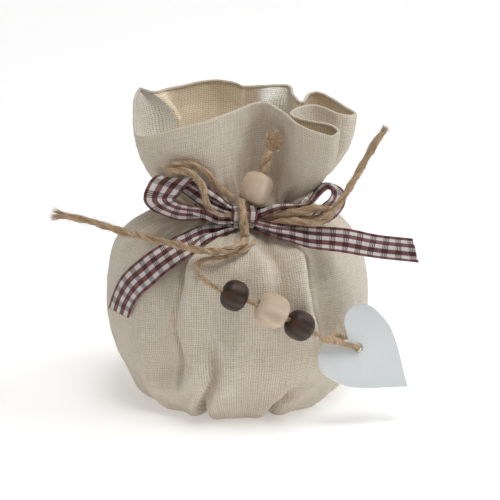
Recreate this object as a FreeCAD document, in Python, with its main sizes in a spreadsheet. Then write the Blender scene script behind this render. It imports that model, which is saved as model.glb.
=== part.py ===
import FreeCAD, Part
import math
import os

import Sketcher

# A small cloth favour sack, gathered at the neck by a bow of gingham ribbon and a bow of
# jute twine. A thinner jute cord hangs from the bow with three wooden beads and a heart tag;
# its other end stands up in a pleat of the ruffle, with a fourth bead and a frayed tuft.
# Millimetres. The origin is the centre of the face that the sack rests on. +Z is up, the
# bow is on the -Y side and +X is on the right of somebody who looks at the bow.

Vector = FreeCAD.Vector

os.makedirs("parts", exist_ok=True)
doc = FreeCAD.newDocument("FavourSack")

# ---------------------------------------------------------------- driving sizes

SIZES = {
    # cloth
    "BaseRadius": 27.0, "BellyRadius": 51.2, "BellyHeight": 42.0,
    "ShoulderRadius": 45.5, "ShoulderHeight": 66.4, "CollarRadius": 30.0, "CollarHeight": 75.2,
    "LowerBulge": 48.9, "UpperBulge": 54.0, "ShoulderBulge": 24.0, "ClothWall": 1.2,
    "NeckRadius": 24.0, "NeckCentreX": 2.0, "RimHeight": 118.0,
    # filling
    "FillingGap": 0.4,
    # ribbon
    "RibbonThick": 0.8, "BandBottom": 78.0, "BandTop": 82.4, "BandThick": 0.9,
    "KnotWidth": 9.2, "KnotDepth": 7.0, "KnotHeight": 8.6, "KnotFillet": 2.4,
    # twine and cord
    "TwineDia": 3.0, "CordDia": 1.9, "WrapRadius": 26.65, "WrapHeight": 80.4,
    "KnotLong": 6.6, "KnotThick": 3.8, "TuftDia": 5.2, "TuftLong": 7.5,
    # beads
    "BeadBore": 3.7, "DarkUpperDia": 11.4, "DarkUpperLong": 9.4, "PaleDia": 12.7,
    "PaleLong": 11.8, "DarkLowerDia": 11.2, "DarkLowerLong": 10.4, "TopDia": 11.8,
    "TopLong": 11.0, "TopBarrel": 7.4,
    # heart tag
    "HeartThick": 2.2, "HeartHole": 4.2, "LobeRadius": 7.5, "LobeAcross": 8.4, "LobeUp": 4.0,
    "NotchUp": 5.1, "TipDown": 24.1, "SideRadius": 60.0,
}

sheet = doc.addObject("Spreadsheet::Sheet", "Sizes")
for row, (alias, value) in enumerate(SIZES.items(), start=1):
    sheet.set(f"A{row}", alias)
    sheet.set(f"B{row}", str(value))
    sheet.setAlias(f"B{row}", alias)
doc.recompute()

PARTS = []


def size(alias):
    """A driving size read back from the sheet."""
    return float(sheet.get(alias))


def keep(obj, label):
    """Names a finished sub-part and lists it for writing."""
    obj.Label = label
    PARTS.append(obj)
    return obj


def feature(label, shape):
    """A sub-part whose shape is worked out below from the sheet's sizes."""
    obj = doc.addObject("Part::Feature", label)
    obj.Shape = shape
    return keep(obj, label)


def bind(obj, **expressions):
    """Binds an object's sizes to the sheet: bind(box, Length="Sizes.KnotWidth")."""
    for prop, expression in expressions.items():
        obj.setExpression(prop, expression)


def boolean(kind, name, base, tool):
    obj = doc.addObject(kind, name)
    obj.Base = base
    obj.Tool = tool
    return obj


# ---------------------------------------------------------------- sketched sub-parts


def origin_plane(body, role):
    return next(item for item in body.Origin.OriginFeatures if item.Role == role)


def new_sketch(body, name, role):
    sketch = body.newObject("Sketcher::SketchObject", name)
    sketch.AttachmentSupport = [(origin_plane(body, role), "")]
    sketch.MapMode = "FlatFace"
    return sketch


def arc_between(start, end, radius, bulge):
    """The shorter arc of a given radius between two points, bulging towards a direction.

    It always runs anticlockwise; the second value tells whether it runs from start to end.
    """
    middle = (start + end) * 0.5
    half = (end - start).Length / 2
    rise = radius - math.sqrt(radius * radius - half * half)
    right = (end - start).cross(Vector(0, 0, 1)).normalize()
    if right.dot(bulge) > 0:
        return Part.Arc(start, middle + right * rise, end), True
    return Part.Arc(end, middle - right * rise, start), False


def outline(sketch, corners, arcs):
    """Closes a loop through corners, each (x, y, x expression, y expression).

    arcs maps the number of an edge to (radius, radius expression, bulge direction).
    The other edges are straight. Every corner and radius is bound to the sheet.
    """
    points = [Vector(corner[0], corner[1], 0) for corner in corners]
    count = len(points)
    first_last = []
    for k in range(count):
        start, end = points[k], points[(k + 1) % count]
        if k in arcs:
            radius, rule, bulge = arcs[k]
            arc, forward = arc_between(start, end, radius, bulge)
            sketch.addGeometry(arc, False)
            first_last.append((1, 2) if forward else (2, 1))
            sketch.addConstraint(Sketcher.Constraint("Radius", k, radius))
            sketch.setExpression(f"Constraints[{sketch.ConstraintCount - 1}]", rule)
        else:
            sketch.addGeometry(Part.LineSegment(start, end), False)
            first_last.append((1, 2))
    for k in range(count):
        after = (k + 1) % count
        sketch.addConstraint(
            Sketcher.Constraint("Coincident", k, first_last[k][1], after, first_last[after][0]))
    for k, (x, y, x_rule, y_rule) in enumerate(corners):
        end = first_last[k][0]
        for kind, value, rule, axis in (("DistanceX", x, x_rule, -2), ("DistanceY", y, y_rule, -1)):
            if rule is None:
                sketch.addConstraint(Sketcher.Constraint("PointOnObject", k, end, axis))
            else:
                sketch.addConstraint(Sketcher.Constraint(kind, -1, 1, k, end, value))
                sketch.setExpression(f"Constraints[{sketch.ConstraintCount - 1}]", rule)


def revolved(body, sketch):
    turn = body.newObject("PartDesign::Revolution", body.Name + "Turn")
    turn.Profile = sketch
    turn.ReferenceAxis = (sketch, ["V_Axis"])
    turn.Angle = 360
    return turn


def bulb_corner(radius, height, inset_r, inset_z):
    """A corner of the sack's profile, moved in by a cloth wall."""
    return (size(radius) - inset_r[0], size(height) + inset_z[0],
            f"Sizes.{radius}{inset_r[1]}", f"Sizes.{height}{inset_z[1]}")


def sack_body():
    """The full lower half of the cloth: a shell, round in plan, with a flat base."""
    body = doc.addObject("PartDesign::Body", "SackBody")
    sketch = new_sketch(body, "SackProfile", "XZ_Plane")
    wall = size("ClothWall")
    minus = (wall, " - Sizes.ClothWall")
    none = (0.0, "")
    out = Vector(1, 0, 0)
    corners = [
        (0, 0, None, None),
        (size("BaseRadius"), 0, "Sizes.BaseRadius", None),
        bulb_corner("BellyRadius", "BellyHeight", none, none),
        bulb_corner("ShoulderRadius", "ShoulderHeight", none, none),
        bulb_corner("CollarRadius", "CollarHeight", none, none),
        bulb_corner("CollarRadius", "CollarHeight", none, (-wall, " - Sizes.ClothWall")),
        bulb_corner("ShoulderRadius", "ShoulderHeight", minus, none),
        bulb_corner("BellyRadius", "BellyHeight", minus, none),
        (size("BaseRadius"), wall, "Sizes.BaseRadius", "Sizes.ClothWall"),
        (0, wall, None, "Sizes.ClothWall"),
    ]
    arcs = {}
    for outer, inner, radius in ((1, 7, "LowerBulge"), (2, 6, "UpperBulge"), (3, 5, "ShoulderBulge")):
        arcs[outer] = (size(radius), f"Sizes.{radius}", out)
        arcs[inner] = (size(radius) - wall, f"Sizes.{radius} - Sizes.ClothWall", out)
    outline(sketch, corners, arcs)
    revolved(body, sketch)
    return keep(body, "sack_body")


def filling():
    """The crumpled paper that keeps the sack round; its top shows down the neck."""
    body = doc.addObject("PartDesign::Body", "Filling")
    sketch = new_sketch(body, "FillingProfile", "XZ_Plane")
    gap = size("ClothWall") + size("FillingGap")
    rule = "Sizes.ClothWall + Sizes.FillingGap"
    minus = (gap, f" - ({rule})")
    out = Vector(1, 0, 0)
    corners = [
        (0, gap, None, rule),
        (size("BaseRadius") - gap, gap, f"Sizes.BaseRadius - ({rule})", rule),
        bulb_corner("BellyRadius", "BellyHeight", minus, (0.0, "")),
        bulb_corner("ShoulderRadius", "ShoulderHeight", (2 * gap, f" - 2 * ({rule})"), (0.0, "")),
        (size("NeckRadius") - 5, size("CollarHeight"), "Sizes.NeckRadius - 5", "Sizes.CollarHeight"),
        (0, size("CollarHeight"), None, "Sizes.CollarHeight"),
    ]
    arcs = {
        1: (size("LowerBulge"), "Sizes.LowerBulge", out),
        2: (size("UpperBulge"), "Sizes.UpperBulge", out),
        3: (size("UpperBulge"), "Sizes.UpperBulge", Vector(0, 1, 0)),
    }
    outline(sketch, corners, arcs)
    revolved(body, sketch)
    return keep(body, "filling")


# ---------------------------------------------------------------- ruffle

# The rim of the ruffle from above, (x, y), clockwise from the pleat in front that holds the
# tuft: front left corner, left end, back wall, two lobes on the right with deep pleats
# between them.
RIM = [
    (11.0, -12.5), (4.0, -17.0), (-4.0, -24.0), (-12.0, -27.5), (-21.0, -28.0), (-31.0, -26.5),
    (-38.5, -21.5), (-40.5, -11.0), (-41.0, 3.0), (-39.5, 15.0), (-34.0, 16.0), (-28.0, 22.0),
    (-18.0, 27.5), (-8.0, 30.0), (1.0, 29.5), (9.0, 31.0), (17.0, 30.5), (22.0, 27.0),
    (25.0, 19.0), (28.5, 25.0), (34.0, 24.0), (41.0, 13.0), (46.5, 2.0), (43.0, -6.5),
    (35.0, -6.0), (27.5, -3.0), (22.5, -12.0), (29.0, -20.5), (36.5, -24.0), (39.0, -28.5),
    (35.0, -33.0), (27.5, -31.5), (20.0, -25.0), (15.5, -16.5),
]

# How far the cloth has opened from the neck ring to the rim, by height above the base.
SPREAD = [(75.25, 0.0), (76.4, 0.0), (78.0, 0.0), (82.5, 0.0), (84.0, 0.04), (86.5, 0.27), (90.0, 0.52),
          (95.0, 0.72), (101.0, 0.88), (108.0, 0.97)]

# The deeper hollow in front, by height: how far the pleat behind the top bead is pushed in.
HOLLOW = [(82.6, 0.0), (84.5, 3.0), (87.0, 6.0), (90.0, 6.5), (95.0, 4.5), (101.0, 2.5),
          (108.0, 1.5), (118.0, 0.0)]
HOLLOW_HALF_WIDTH = 9.0


def hollow(height):
    """The depth of the hollow at a height, straight between the listed heights."""
    for (low, first), (high, second) in zip(HOLLOW, HOLLOW[1:]):
        if low <= height <= high:
            return first + (second - first) * (height - low) / (high - low)
    return 0.0


def ruffle_ring(height, spread, wall):
    """One closed, smooth section of the ruffle; wall moves it inwards."""
    collar = size("CollarRadius")
    collar_height = size("CollarHeight")
    neck = size("NeckRadius")
    fall = max(0.0, (size("BandBottom") - height) / (size("BandBottom") - collar_height))
    radius = neck + (collar - neck) * fall * fall
    centre_x = size("NeckCentreX") * (1 - fall)
    rim = [Vector(x, y, 0) for x, y in RIM]
    count = len(rim)
    steps = [(rim[(k + 1) % count] - rim[k]).Length for k in range(count)]
    start = math.atan2(RIM[0][1], RIM[0][0] - centre_x)
    walked = 0.0
    points = []
    for k in range(count):
        turn = start - 2 * math.pi * walked / sum(steps)
        ring = Vector(centre_x + radius * math.cos(turn), radius * math.sin(turn), 0)
        point = ring * (1 - spread) + rim[k] * spread
        aside = (point.x - 7.5 - 0.25 * (height - 90)) / HOLLOW_HALF_WIDTH
        if point.y < 0:
            point.y += hollow(height) * math.exp(-aside * aside)
        points.append(point)
        walked += steps[k]
    moved = []
    for k in range(count):
        along = (points[(k + 1) % count] - points[k - 1]).normalize()
        inward = Vector(along.y, -along.x, 0)
        moved.append(points[k] + inward * wall + Vector(0, 0, height))
    curve = Part.BSplineCurve()
    curve.interpolate(Points=moved, PeriodicFlag=True)
    return Part.Wire([curve.toShape()])


def sack_ruffle():
    """The gathered neck and the open, pleated ruffle above it."""
    wall = size("ClothWall")
    levels = [(height, spread) for height, spread in SPREAD] + [(size("RimHeight"), 1.0)]
    outer = Part.makeLoft([ruffle_ring(height, spread, 0.0) for height, spread in levels],
                          True, True)
    low, high = levels[0], levels[-1]
    inner_levels = [(low[0] - 0.6, low[1])] + levels[1:-1] + [(high[0] + 0.6, high[1])]
    inner = Part.makeLoft([ruffle_ring(height, spread, wall) for height, spread in inner_levels],
                          True, True)
    return feature("sack_ruffle", outer.cut(inner).Solids[0])


# ---------------------------------------------------------------- ribbon


def ribbon_neck_band():
    """The ribbon where it is drawn tight round the neck, crushed to half its width."""
    outer = doc.addObject("Part::Cylinder", "BandOuter")
    inner = doc.addObject("Part::Cylinder", "BandInner")
    bind(outer, Radius="Sizes.NeckRadius + 0.15 + Sizes.BandThick",
         Height="Sizes.BandTop - Sizes.BandBottom")
    bind(inner, Radius="Sizes.NeckRadius + 0.15", Height="Sizes.BandTop - Sizes.BandBottom")
    band = boolean("Part::Cut", "NeckBand", outer, inner)
    bind(band, **{"Placement.Base.x": "Sizes.NeckCentreX", "Placement.Base.z": "Sizes.BandBottom"})
    return keep(band, "ribbon_neck_band")


KNOT_AT = Vector(3.0, -29.8, 80.7)


def ribbon_knot():
    """The knot of the bow, a rounded lump in front of the neck."""
    box = doc.addObject("Part::Box", "KnotBlock")
    bind(box, Length="Sizes.KnotWidth", Width="Sizes.KnotDepth", Height="Sizes.KnotHeight")
    half = Vector(size("KnotWidth"), size("KnotDepth"), size("KnotHeight")) * 0.5
    box.Placement = FreeCAD.Placement(KNOT_AT - half, FreeCAD.Rotation())
    doc.recompute()
    knot = doc.addObject("Part::Fillet", "KnotRounded")
    knot.Base = box
    radius = size("KnotFillet")
    knot.Edges = [(k + 1, radius, radius) for k in range(len(box.Shape.Edges))]
    return keep(knot, "ribbon_knot")


# A strip of ribbon is a list of crosswise lines, each (point on one edge, point on the other).
LOOP_LEFT = [
    ((-2.2, -32.3, 77.2), (-2.2, -32.9, 81.0)),
    ((-7.5, -32.3, 77.8), (-7.0, -35.0, 81.9)),
    ((-11.5, -32.0, 79.0), (-11.0, -36.8, 85.0)),
    ((-17.5, -31.5, 79.5), (-16.5, -38.0, 87.0)),
    ((-23.5, -31.5, 80.0), (-20.5, -38.0, 88.0)),
    ((-30.0, -31.5, 82.0), (-22.5, -37.0, 88.3)),
    ((-34.5, -30.5, 86.5), (-23.0, -35.0, 88.8)),
    ((-33.5, -29.5, 92.0), (-21.5, -33.0, 90.0)),
    ((-30.0, -28.0, 95.5), (-18.0, -31.5, 93.5)),
    ((-26.5, -25.5, 94.5), (-15.0, -30.0, 95.8)),
    ((-21.0, -26.0, 90.0), (-12.5, -29.0, 94.5)),
    ((-15.0, -28.0, 86.0), (-9.0, -28.8, 91.0)),
    ((-8.5, -28.9, 83.6), (-5.5, -28.6, 87.5)),
    ((-2.2, -28.4, 81.6), (-2.2, -28.2, 84.2)),
]

LOOP_RIGHT = [
    ((8.0, -28.0, 82.6), (8.0, -30.8, 80.6)),
    ((11.0, -26.4, 83.0), (11.2, -31.0, 81.6)),
    ((14.0, -25.0, 83.8), (14.0, -31.2, 83.0)),
    ((17.5, -23.6, 84.0), (17.5, -31.2, 84.2)),
    ((24.0, -21.8, 83.6), (24.5, -31.4, 84.9)),
    ((27.5, -21.5, 86.5), (29.0, -31.0, 86.5)),
    ((30.0, -21.5, 90.5), (32.0, -30.3, 90.0)),
    ((34.5, -21.5, 92.0), (34.3, -30.0, 91.5)),
    ((39.5, -22.3, 90.0), (35.3, -30.0, 90.0)),
    ((41.0, -23.0, 86.0), (34.0, -30.5, 87.5)),
    ((38.5, -24.0, 80.0), (30.5, -31.0, 84.0)),
    ((33.0, -25.4, 76.4), (27.0, -31.0, 80.0)),
    ((24.0, -26.6, 75.4), (20.5, -30.2, 76.4)),
    ((8.0, -26.9, 76.9), (8.0, -28.6, 76.4)),
]

TAIL_LEFT = [
    ((-2.2, -30.5, 76.8), (-2.2, -31.5, 75.4)),
    ((-7.5, -31.0, 76.9), (-6.0, -35.5, 74.8)),
    ((-12.0, -31.8, 77.3), (-10.5, -38.5, 73.5)),
    ((-19.0, -34.8, 76.0), (-16.5, -42.5, 69.7)),
    ((-25.0, -36.2, 73.5), (-20.5, -42.8, 66.9)),
    ((-30.5, -36.5, 70.0), (-25.5, -42.3, 63.2)),
    ((-36.0, -35.0, 65.7), (-30.0, -41.0, 58.3)),
    ((-42.0, -31.5, 59.7), (-35.5, -38.8, 53.6)),
    ((-46.5, -28.0, 51.5), (-39.5, -35.3, 47.3)),
    ((-48.5, -26.5, 44.5), (-41.0, -33.3, 42.0)),
]

TAIL_RIGHT = [
    ((8.0, -33.5, 80.3), (8.0, -33.7, 75.6)),
    ((12.8, -34.4, 79.6), (12.8, -36.0, 74.2)),
    ((20.0, -35.0, 78.8), (19.8, -38.5, 73.0)),
    ((27.0, -35.5, 78.4), (27.0, -39.8, 71.0)),
    ((40.5, -35.5, 77.6), (39.5, -40.3, 69.3)),
    ((53.5, -35.5, 75.0), (51.5, -40.3, 67.2)),
    ((66.0, -35.0, 73.5), (68.0, -39.8, 65.3)),
]


def ribbon_strip(label, lines):
    """A strip of even thickness whose edges run through the crosswise lines."""
    half = size("RibbonThick") / 2
    edges = [(Vector(*one), Vector(*other)) for one, other in lines]
    middles = [(one + other) * 0.5 for one, other in edges]
    sections = []
    for k, (one, other) in enumerate(edges):
        along = middles[min(k + 1, len(edges) - 1)] - middles[max(k - 1, 0)]
        out = along.cross(other - one).normalize() * half
        corners = [one + out, other + out, other - out, one - out]
        sections.append(Part.makePolygon(corners + corners[:1]))
    return feature(label, Part.makeLoft(sections, True, True))


# ---------------------------------------------------------------- twine and cord

TWINE_KNOT = [(1.6, -31.2, 86.9), (2.2, -34.8, 85.8), (2.6, -35.9, 81.0), (2.9, -36.2, 77.6),
              (3.2, -38.4, 75.2)]
TWINE_LOOP_LEFT = [(-1.7, -30.5, 80.4), (-5.2, -31.2, 80.8), (-8.6, -32.4, 82.4),
                   (-10.9, -34.6, 85.6), (-11.7, -36.0, 89.8), (-12.5, -35.6, 94.2),
                   (-15.6, -34.2, 97.8), (-19.8, -33.2, 99.2), (-23.0, -32.1, 98.6),
                   (-25.2, -31.2, 98.1), (-25.8, -29.6, 98.7), (-23.8, -28.8, 100.0),
                   (-19.0, -29.0, 101.0),
                   (-13.6, -29.1, 99.4), (-9.8, -28.9, 95.8), (-6.8, -28.0, 91.8),
                   (-3.6, -27.4, 88.6), (-0.4, -28.2, 86.9)]
TWINE_LOOP_RIGHT = [(7.7, -28.9, 79.0), (12.0, -28.5, 79.8), (16.0, -29.8, 81.2),
                    (20.0, -33.3, 83.0), (24.5, -34.8, 84.0), (29.0, -34.9, 84.9),
                    (32.6, -34.9, 85.2), (34.9, -34.8, 84.3), (35.5, -34.6, 82.5),
                    (34.1, -34.4, 81.0), (30.6, -34.4, 80.8), (25.5, -34.2, 80.9),
                    (21.0, -31.6, 80.0), (17.0, -29.2, 78.1)]
TWINE_TAIL_RIGHT = [(7.9, -31.4, 77.0), (12.0, -31.8, 77.6), (16.0, -32.5, 79.2),
                    (20.0, -35.2, 80.7), (24.6, -37.6, 80.3), (29.0, -38.4, 80.2),
                    (33.0, -38.2, 82.0), (36.6, -37.6, 85.2), (39.8, -36.4, 89.4),
                    (42.8, -34.8, 94.2), (46.2, -32.8, 99.7), (49.4, -31.4, 105.3),
                    (52.0, -30.8, 109.8), (54.5, -30.6, 113.2)]
TWINE_TAIL_LEFT = [(3.4, -39.9, 74.2), (1.4, -43.4, 73.0), (-3.0, -46.4, 71.8),
                   (-8.0, -47.6, 71.6), (-14.5, -47.4, 72.3), (-21.0, -45.8, 73.6),
                   (-27.5, -43.4, 74.6), (-34.0, -41.0, 75.5), (-41.5, -38.8, 76.8),
                   (-49.0, -37.0, 78.8), (-56.8, -36.0, 81.2), (-64.5, -35.2, 82.3)]
CORD_UNDER = [(7.0, -38.4, 73.6), (5.4, -42.0, 71.2), (1.2, -45.0, 69.0), (-4.0, -46.6, 67.8),
              (-9.0, -47.0, 67.2), (-13.4, -46.4, 67.2)]
CORD_RUN = [(-15.0, -46.8, 66.2), (-14.4, -49.6, 64.6), (-12.2, -53.4, 62.6),
            (-7.6, -56.4, 60.5), (-0.6, -56.6, 57.5), (13.2, -56.0, 51.6), (23.4, -53.0, 44.9),
            (28.6, -50.4, 41.4), (31.4, -48.2, 39.4)]
CORD_STEM = [(5.3, -28.2, 86.6), (7.4, -25.8, 90.6), (9.5, -23.8, 95.6), (11.0, -22.2, 99.6),
             (12.6, -21.2, 104.0)]


def cord_tube(route, diameter, name):
    """A tube whose straight runs are joined by tangent arcs as large as the runs allow."""
    points = [Vector(*point) for point in route]
    edges = []
    radii = []
    last = points[0]
    for before, corner, after in zip(points, points[1:], points[2:]):
        back = (before - corner)
        on = (after - corner)
        shorter = min(back.Length, on.Length)
        back.normalize()
        on.normalize()
        turn = math.pi - back.getAngle(on)
        reach = 0.45 * shorter
        radius = reach / math.tan(turn / 2)
        radii.append(round(radius, 1))
        first = corner + back * reach
        second = corner + on * reach
        middle = corner + (back + on).normalize() * (radius / math.cos(turn / 2) - radius)
        edges.append(Part.LineSegment(last, first).toShape())
        edges.append(Part.Arc(first, middle, second).toShape())
        last = second
    edges.append(Part.LineSegment(last, points[-1]).toShape())
    path = Part.Wire(edges)
    ring = Part.Circle(points[0], points[1] - points[0], diameter / 2)
    tube = path.makePipeShell([Part.Wire([ring.toShape()])], True, False)
    wanted = math.pi * diameter * diameter / 4 * path.Length
    print(f"{name}: length {path.Length:.1f}, radii {radii}, volume ratio "
          f"{tube.Volume / wanted:.4f}")
    return tube


def cord(label, route, alias):
    return feature(label, cord_tube(route, size(alias), label))


def twine_neck_wrap():
    """The twine round the neck, over the ribbon, open in front where the knot sits."""
    wrap = doc.addObject("Part::Torus", "NeckWrap")
    bind(wrap, Radius1="Sizes.WrapRadius", Radius2="Sizes.TwineDia / 2",
         Angle3="331", **{"Placement.Base.x": "Sizes.NeckCentreX",
                          "Placement.Base.z": "Sizes.WrapHeight"})
    wrap.Placement = FreeCAD.Placement(Vector(), FreeCAD.Rotation(Vector(0, 0, 1), -73))
    return keep(wrap, "twine_neck_wrap")


def along_z(direction):
    """The rotation that lays a piece's own +Z along a direction."""
    return FreeCAD.Rotation(Vector(0, 0, 1), direction)


def cord_tuft():
    """The frayed end of the bead cord, opening like a brush."""
    tuft = doc.addObject("Part::Cone", "Tuft")
    bind(tuft, Radius1="Sizes.CordDia / 2", Radius2="Sizes.TuftDia / 2", Height="Sizes.TuftLong")
    top, below = Vector(*CORD_STEM[-1]), Vector(*CORD_STEM[-2])
    tuft.Placement = FreeCAD.Placement(top, along_z(top - below))
    return keep(tuft, "cord_tuft")


# ---------------------------------------------------------------- beads


def bead(label, at, direction, dia, long, ball=None):
    """A turned wooden bead: a ball cut flat at both ends, drilled along its axis."""
    ball_rule = f"Sizes.{ball}" if ball else f"Sizes.{dia} / 2"
    sphere = doc.addObject("Part::Sphere", label + "Ball")
    bind(sphere, Radius=ball_rule)
    slug = doc.addObject("Part::Cylinder", label + "Slug")
    bind(slug, Radius=f"Sizes.{dia} / 2", Height=f"Sizes.{long}",
         **{"Placement.Base.z": f"-Sizes.{long} / 2"})
    blank = doc.addObject("Part::MultiCommon", label + "Blank")
    blank.Shapes = [sphere, slug]
    drill = doc.addObject("Part::Cylinder", label + "Drill")
    bind(drill, Radius="Sizes.BeadBore / 2", Height=f"Sizes.{long} + 2",
         **{"Placement.Base.z": f"-Sizes.{long} / 2 - 1"})
    turned = boolean("Part::Cut", label + "Turned", blank, drill)
    turned.Placement = FreeCAD.Placement(Vector(*at), along_z(Vector(*direction)))
    return keep(turned, label)


# ---------------------------------------------------------------- heart tag

# The hole of the heart lies at HOLE_AT. Its own frame: local x across the heart, local y up
# from the tip through the hole to the notch, local z out of the front face.
HOLE_AT = Vector(45.6, -41.5, 32.6)
FRONT = Vector(0.25, -0.91, 0.33).normalize()
TOWARDS_NOTCH = Vector(-0.775, 0.0, 0.632)
UP_LOCAL = (TOWARDS_NOTCH - FRONT * TOWARDS_NOTCH.dot(FRONT)).normalize()
ACROSS = UP_LOCAL.cross(FRONT)
HEART_TURN = FreeCAD.Rotation(ACROSS, UP_LOCAL, FRONT, "ZYX")


def on_heart(x, y, z):
    """A point of the heart's own frame, in the frame of the whole object."""
    return HOLE_AT + ACROSS * x + UP_LOCAL * y + FRONT * z


def heart_tag():
    """A flat plate with two round lobes, a long straight-sided point and one hole."""
    body = doc.addObject("PartDesign::Body", "HeartTag")
    sketch = new_sketch(body, "HalfHeart", "XY_Plane")
    lobe, across, up = size("LobeRadius"), size("LobeAcross"), size("LobeUp")
    notch_x = across - lobe + 0.75
    notch_y = up + math.sqrt(lobe ** 2 - (lobe - 0.75) ** 2)
    corners = [
        (0, size("NotchUp"), None, "Sizes.NotchUp"),
        (notch_x, notch_y, "Sizes.LobeAcross - Sizes.LobeRadius + 0.75",
         "Sizes.LobeUp + sqrt(Sizes.LobeRadius ^ 2 - (Sizes.LobeRadius - 0.75) ^ 2)"),
        (across, up + lobe, "Sizes.LobeAcross", "Sizes.LobeUp + Sizes.LobeRadius"),
        (across + lobe, up, "Sizes.LobeAcross + Sizes.LobeRadius", "Sizes.LobeUp"),
        (0, -size("TipDown"), None, "-Sizes.TipDown"),
    ]
    arcs = {
        1: (lobe, "Sizes.LobeRadius", Vector(-1, 1, 0)),
        2: (lobe, "Sizes.LobeRadius", Vector(1, 1, 0)),
        3: (size("SideRadius"), "Sizes.SideRadius", Vector(1, -1, 0)),
    }
    outline(sketch, corners, arcs)
    pad = body.newObject("PartDesign::Pad", "HeartPad")
    pad.Profile = sketch
    pad.Midplane = True
    pad.setExpression("Length", "Sizes.HeartThick")
    doc.recompute()
    mirror = body.newObject("PartDesign::Mirrored", "HeartMirror")
    mirror.Originals = [pad]
    mirror.MirrorPlane = (origin_plane(body, "YZ_Plane"), [""])
    body.Tip = mirror
    doc.recompute()
    drill = new_sketch(body, "HoleSketch", "XY_Plane")
    drill.addGeometry(Part.Circle(Vector(0, 0, 0), Vector(0, 0, 1), size("HeartHole") / 2), False)
    drill.addConstraint(Sketcher.Constraint("Coincident", 0, 3, -1, 1))
    drill.addConstraint(Sketcher.Constraint("Diameter", 0, size("HeartHole")))
    drill.setExpression("Constraints[1]", "Sizes.HeartHole")
    hole = body.newObject("PartDesign::Pocket", "HeartHole")
    hole.Profile = drill
    hole.Midplane = True
    hole.Type = "ThroughAll"
    body.Tip = hole
    body.Placement = FreeCAD.Placement(HOLE_AT, HEART_TURN)
    return keep(body, "heart_tag")


# The cord's loop in the heart's own frame: from the knot over the front face, down through
# the hole, along the back, round the notch and back to the knot.
HEART_LOOP = [(-3.4, 7.6, 2.6), (-2.0, 4.4, 2.35), (-0.5, 1.2, 2.3), (0.0, -0.2, 1.2),
              (0.0, -0.2, -1.2), (0.2, 1.2, -2.3), (0.1, 5.6, -2.5), (0.0, 9.6, -2.0),
              (-0.2, 10.9, 0.4), (-0.9, 10.5, 2.6)]
KNOT_NEAR = (-3.2, 7.8, 3.6)
KNOT_FAR = (-6.0, 13.0, 3.9)


def heart_knot():
    """The twisted knot that closes the loop, a short fat spindle in front of the notch."""
    knot = doc.addObject("Part::Ellipsoid", "LoopKnot")
    bind(knot, Radius1="Sizes.KnotLong / 2", Radius2="Sizes.KnotThick / 2",
         Radius3="Sizes.KnotThick / 2")
    near, far = on_heart(*KNOT_NEAR), on_heart(*KNOT_FAR)
    knot.Placement = FreeCAD.Placement((near + far) * 0.5, along_z(far - near))
    return keep(knot, "heart_knot")


# ---------------------------------------------------------------- build


def build():
    sack_body()
    sack_ruffle()
    filling()
    ribbon_neck_band()
    ribbon_knot()
    ribbon_strip("ribbon_loop_left", LOOP_LEFT)
    ribbon_strip("ribbon_loop_right", LOOP_RIGHT)
    ribbon_strip("ribbon_tail_left", TAIL_LEFT)
    ribbon_strip("ribbon_tail_right", TAIL_RIGHT)
    twine_neck_wrap()
    cord("twine_knot", TWINE_KNOT, "TwineDia")
    cord("twine_loop_left", TWINE_LOOP_LEFT, "TwineDia")
    cord("twine_loop_right", TWINE_LOOP_RIGHT, "TwineDia")
    cord("twine_tail_left", TWINE_TAIL_LEFT, "TwineDia")
    cord("twine_tail_right", TWINE_TAIL_RIGHT, "TwineDia")
    cord("cord_under_knot", CORD_UNDER, "CordDia")
    cord("cord_stem", CORD_STEM, "CordDia")
    cord_tuft()
    cord("cord_run", CORD_RUN, "CordDia")
    heart_knot()
    cord("heart_loop", [tuple(on_heart(*point)) for point in HEART_LOOP], "CordDia")
    bead("bead_top", CORD_STEM[1], (0.385, 0.41, 0.82), "TopDia", "TopLong", "TopBarrel")
    bead("bead_dark_upper", CORD_RUN[4], (13.8, 0.6, -5.9), "DarkUpperDia", "DarkUpperLong")
    bead("bead_pale", CORD_RUN[5], (24.0, 3.6, -12.6), "PaleDia", "PaleLong")
    bead("bead_dark_lower", CORD_RUN[6], (16.4, 6.0, -10.8), "DarkLowerDia", "DarkLowerLong")
    heart_tag()
    doc.recompute()


def check_and_write():
    for obj in doc.Objects:
        if "Invalid" in obj.State or "Error" in obj.State:
            raise RuntimeError(f"{obj.Label} failed: {obj.State}")
    for obj in PARTS:
        shape = obj.Shape
        if shape.isNull() or not shape.isValid() or not shape.Solids:
            raise RuntimeError(f"{obj.Label} has no valid solid")
    for obj in PARTS:
        obj.Shape.exportStep(f"parts/{obj.Label}.step")
        print(f"{obj.Label}: {obj.Shape.Volume:.0f} mm3, solids {len(obj.Shape.Solids)}")


build()
check_and_write()
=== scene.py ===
import math

import bpy
import numpy as np
from mathutils import Matrix, Vector


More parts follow.
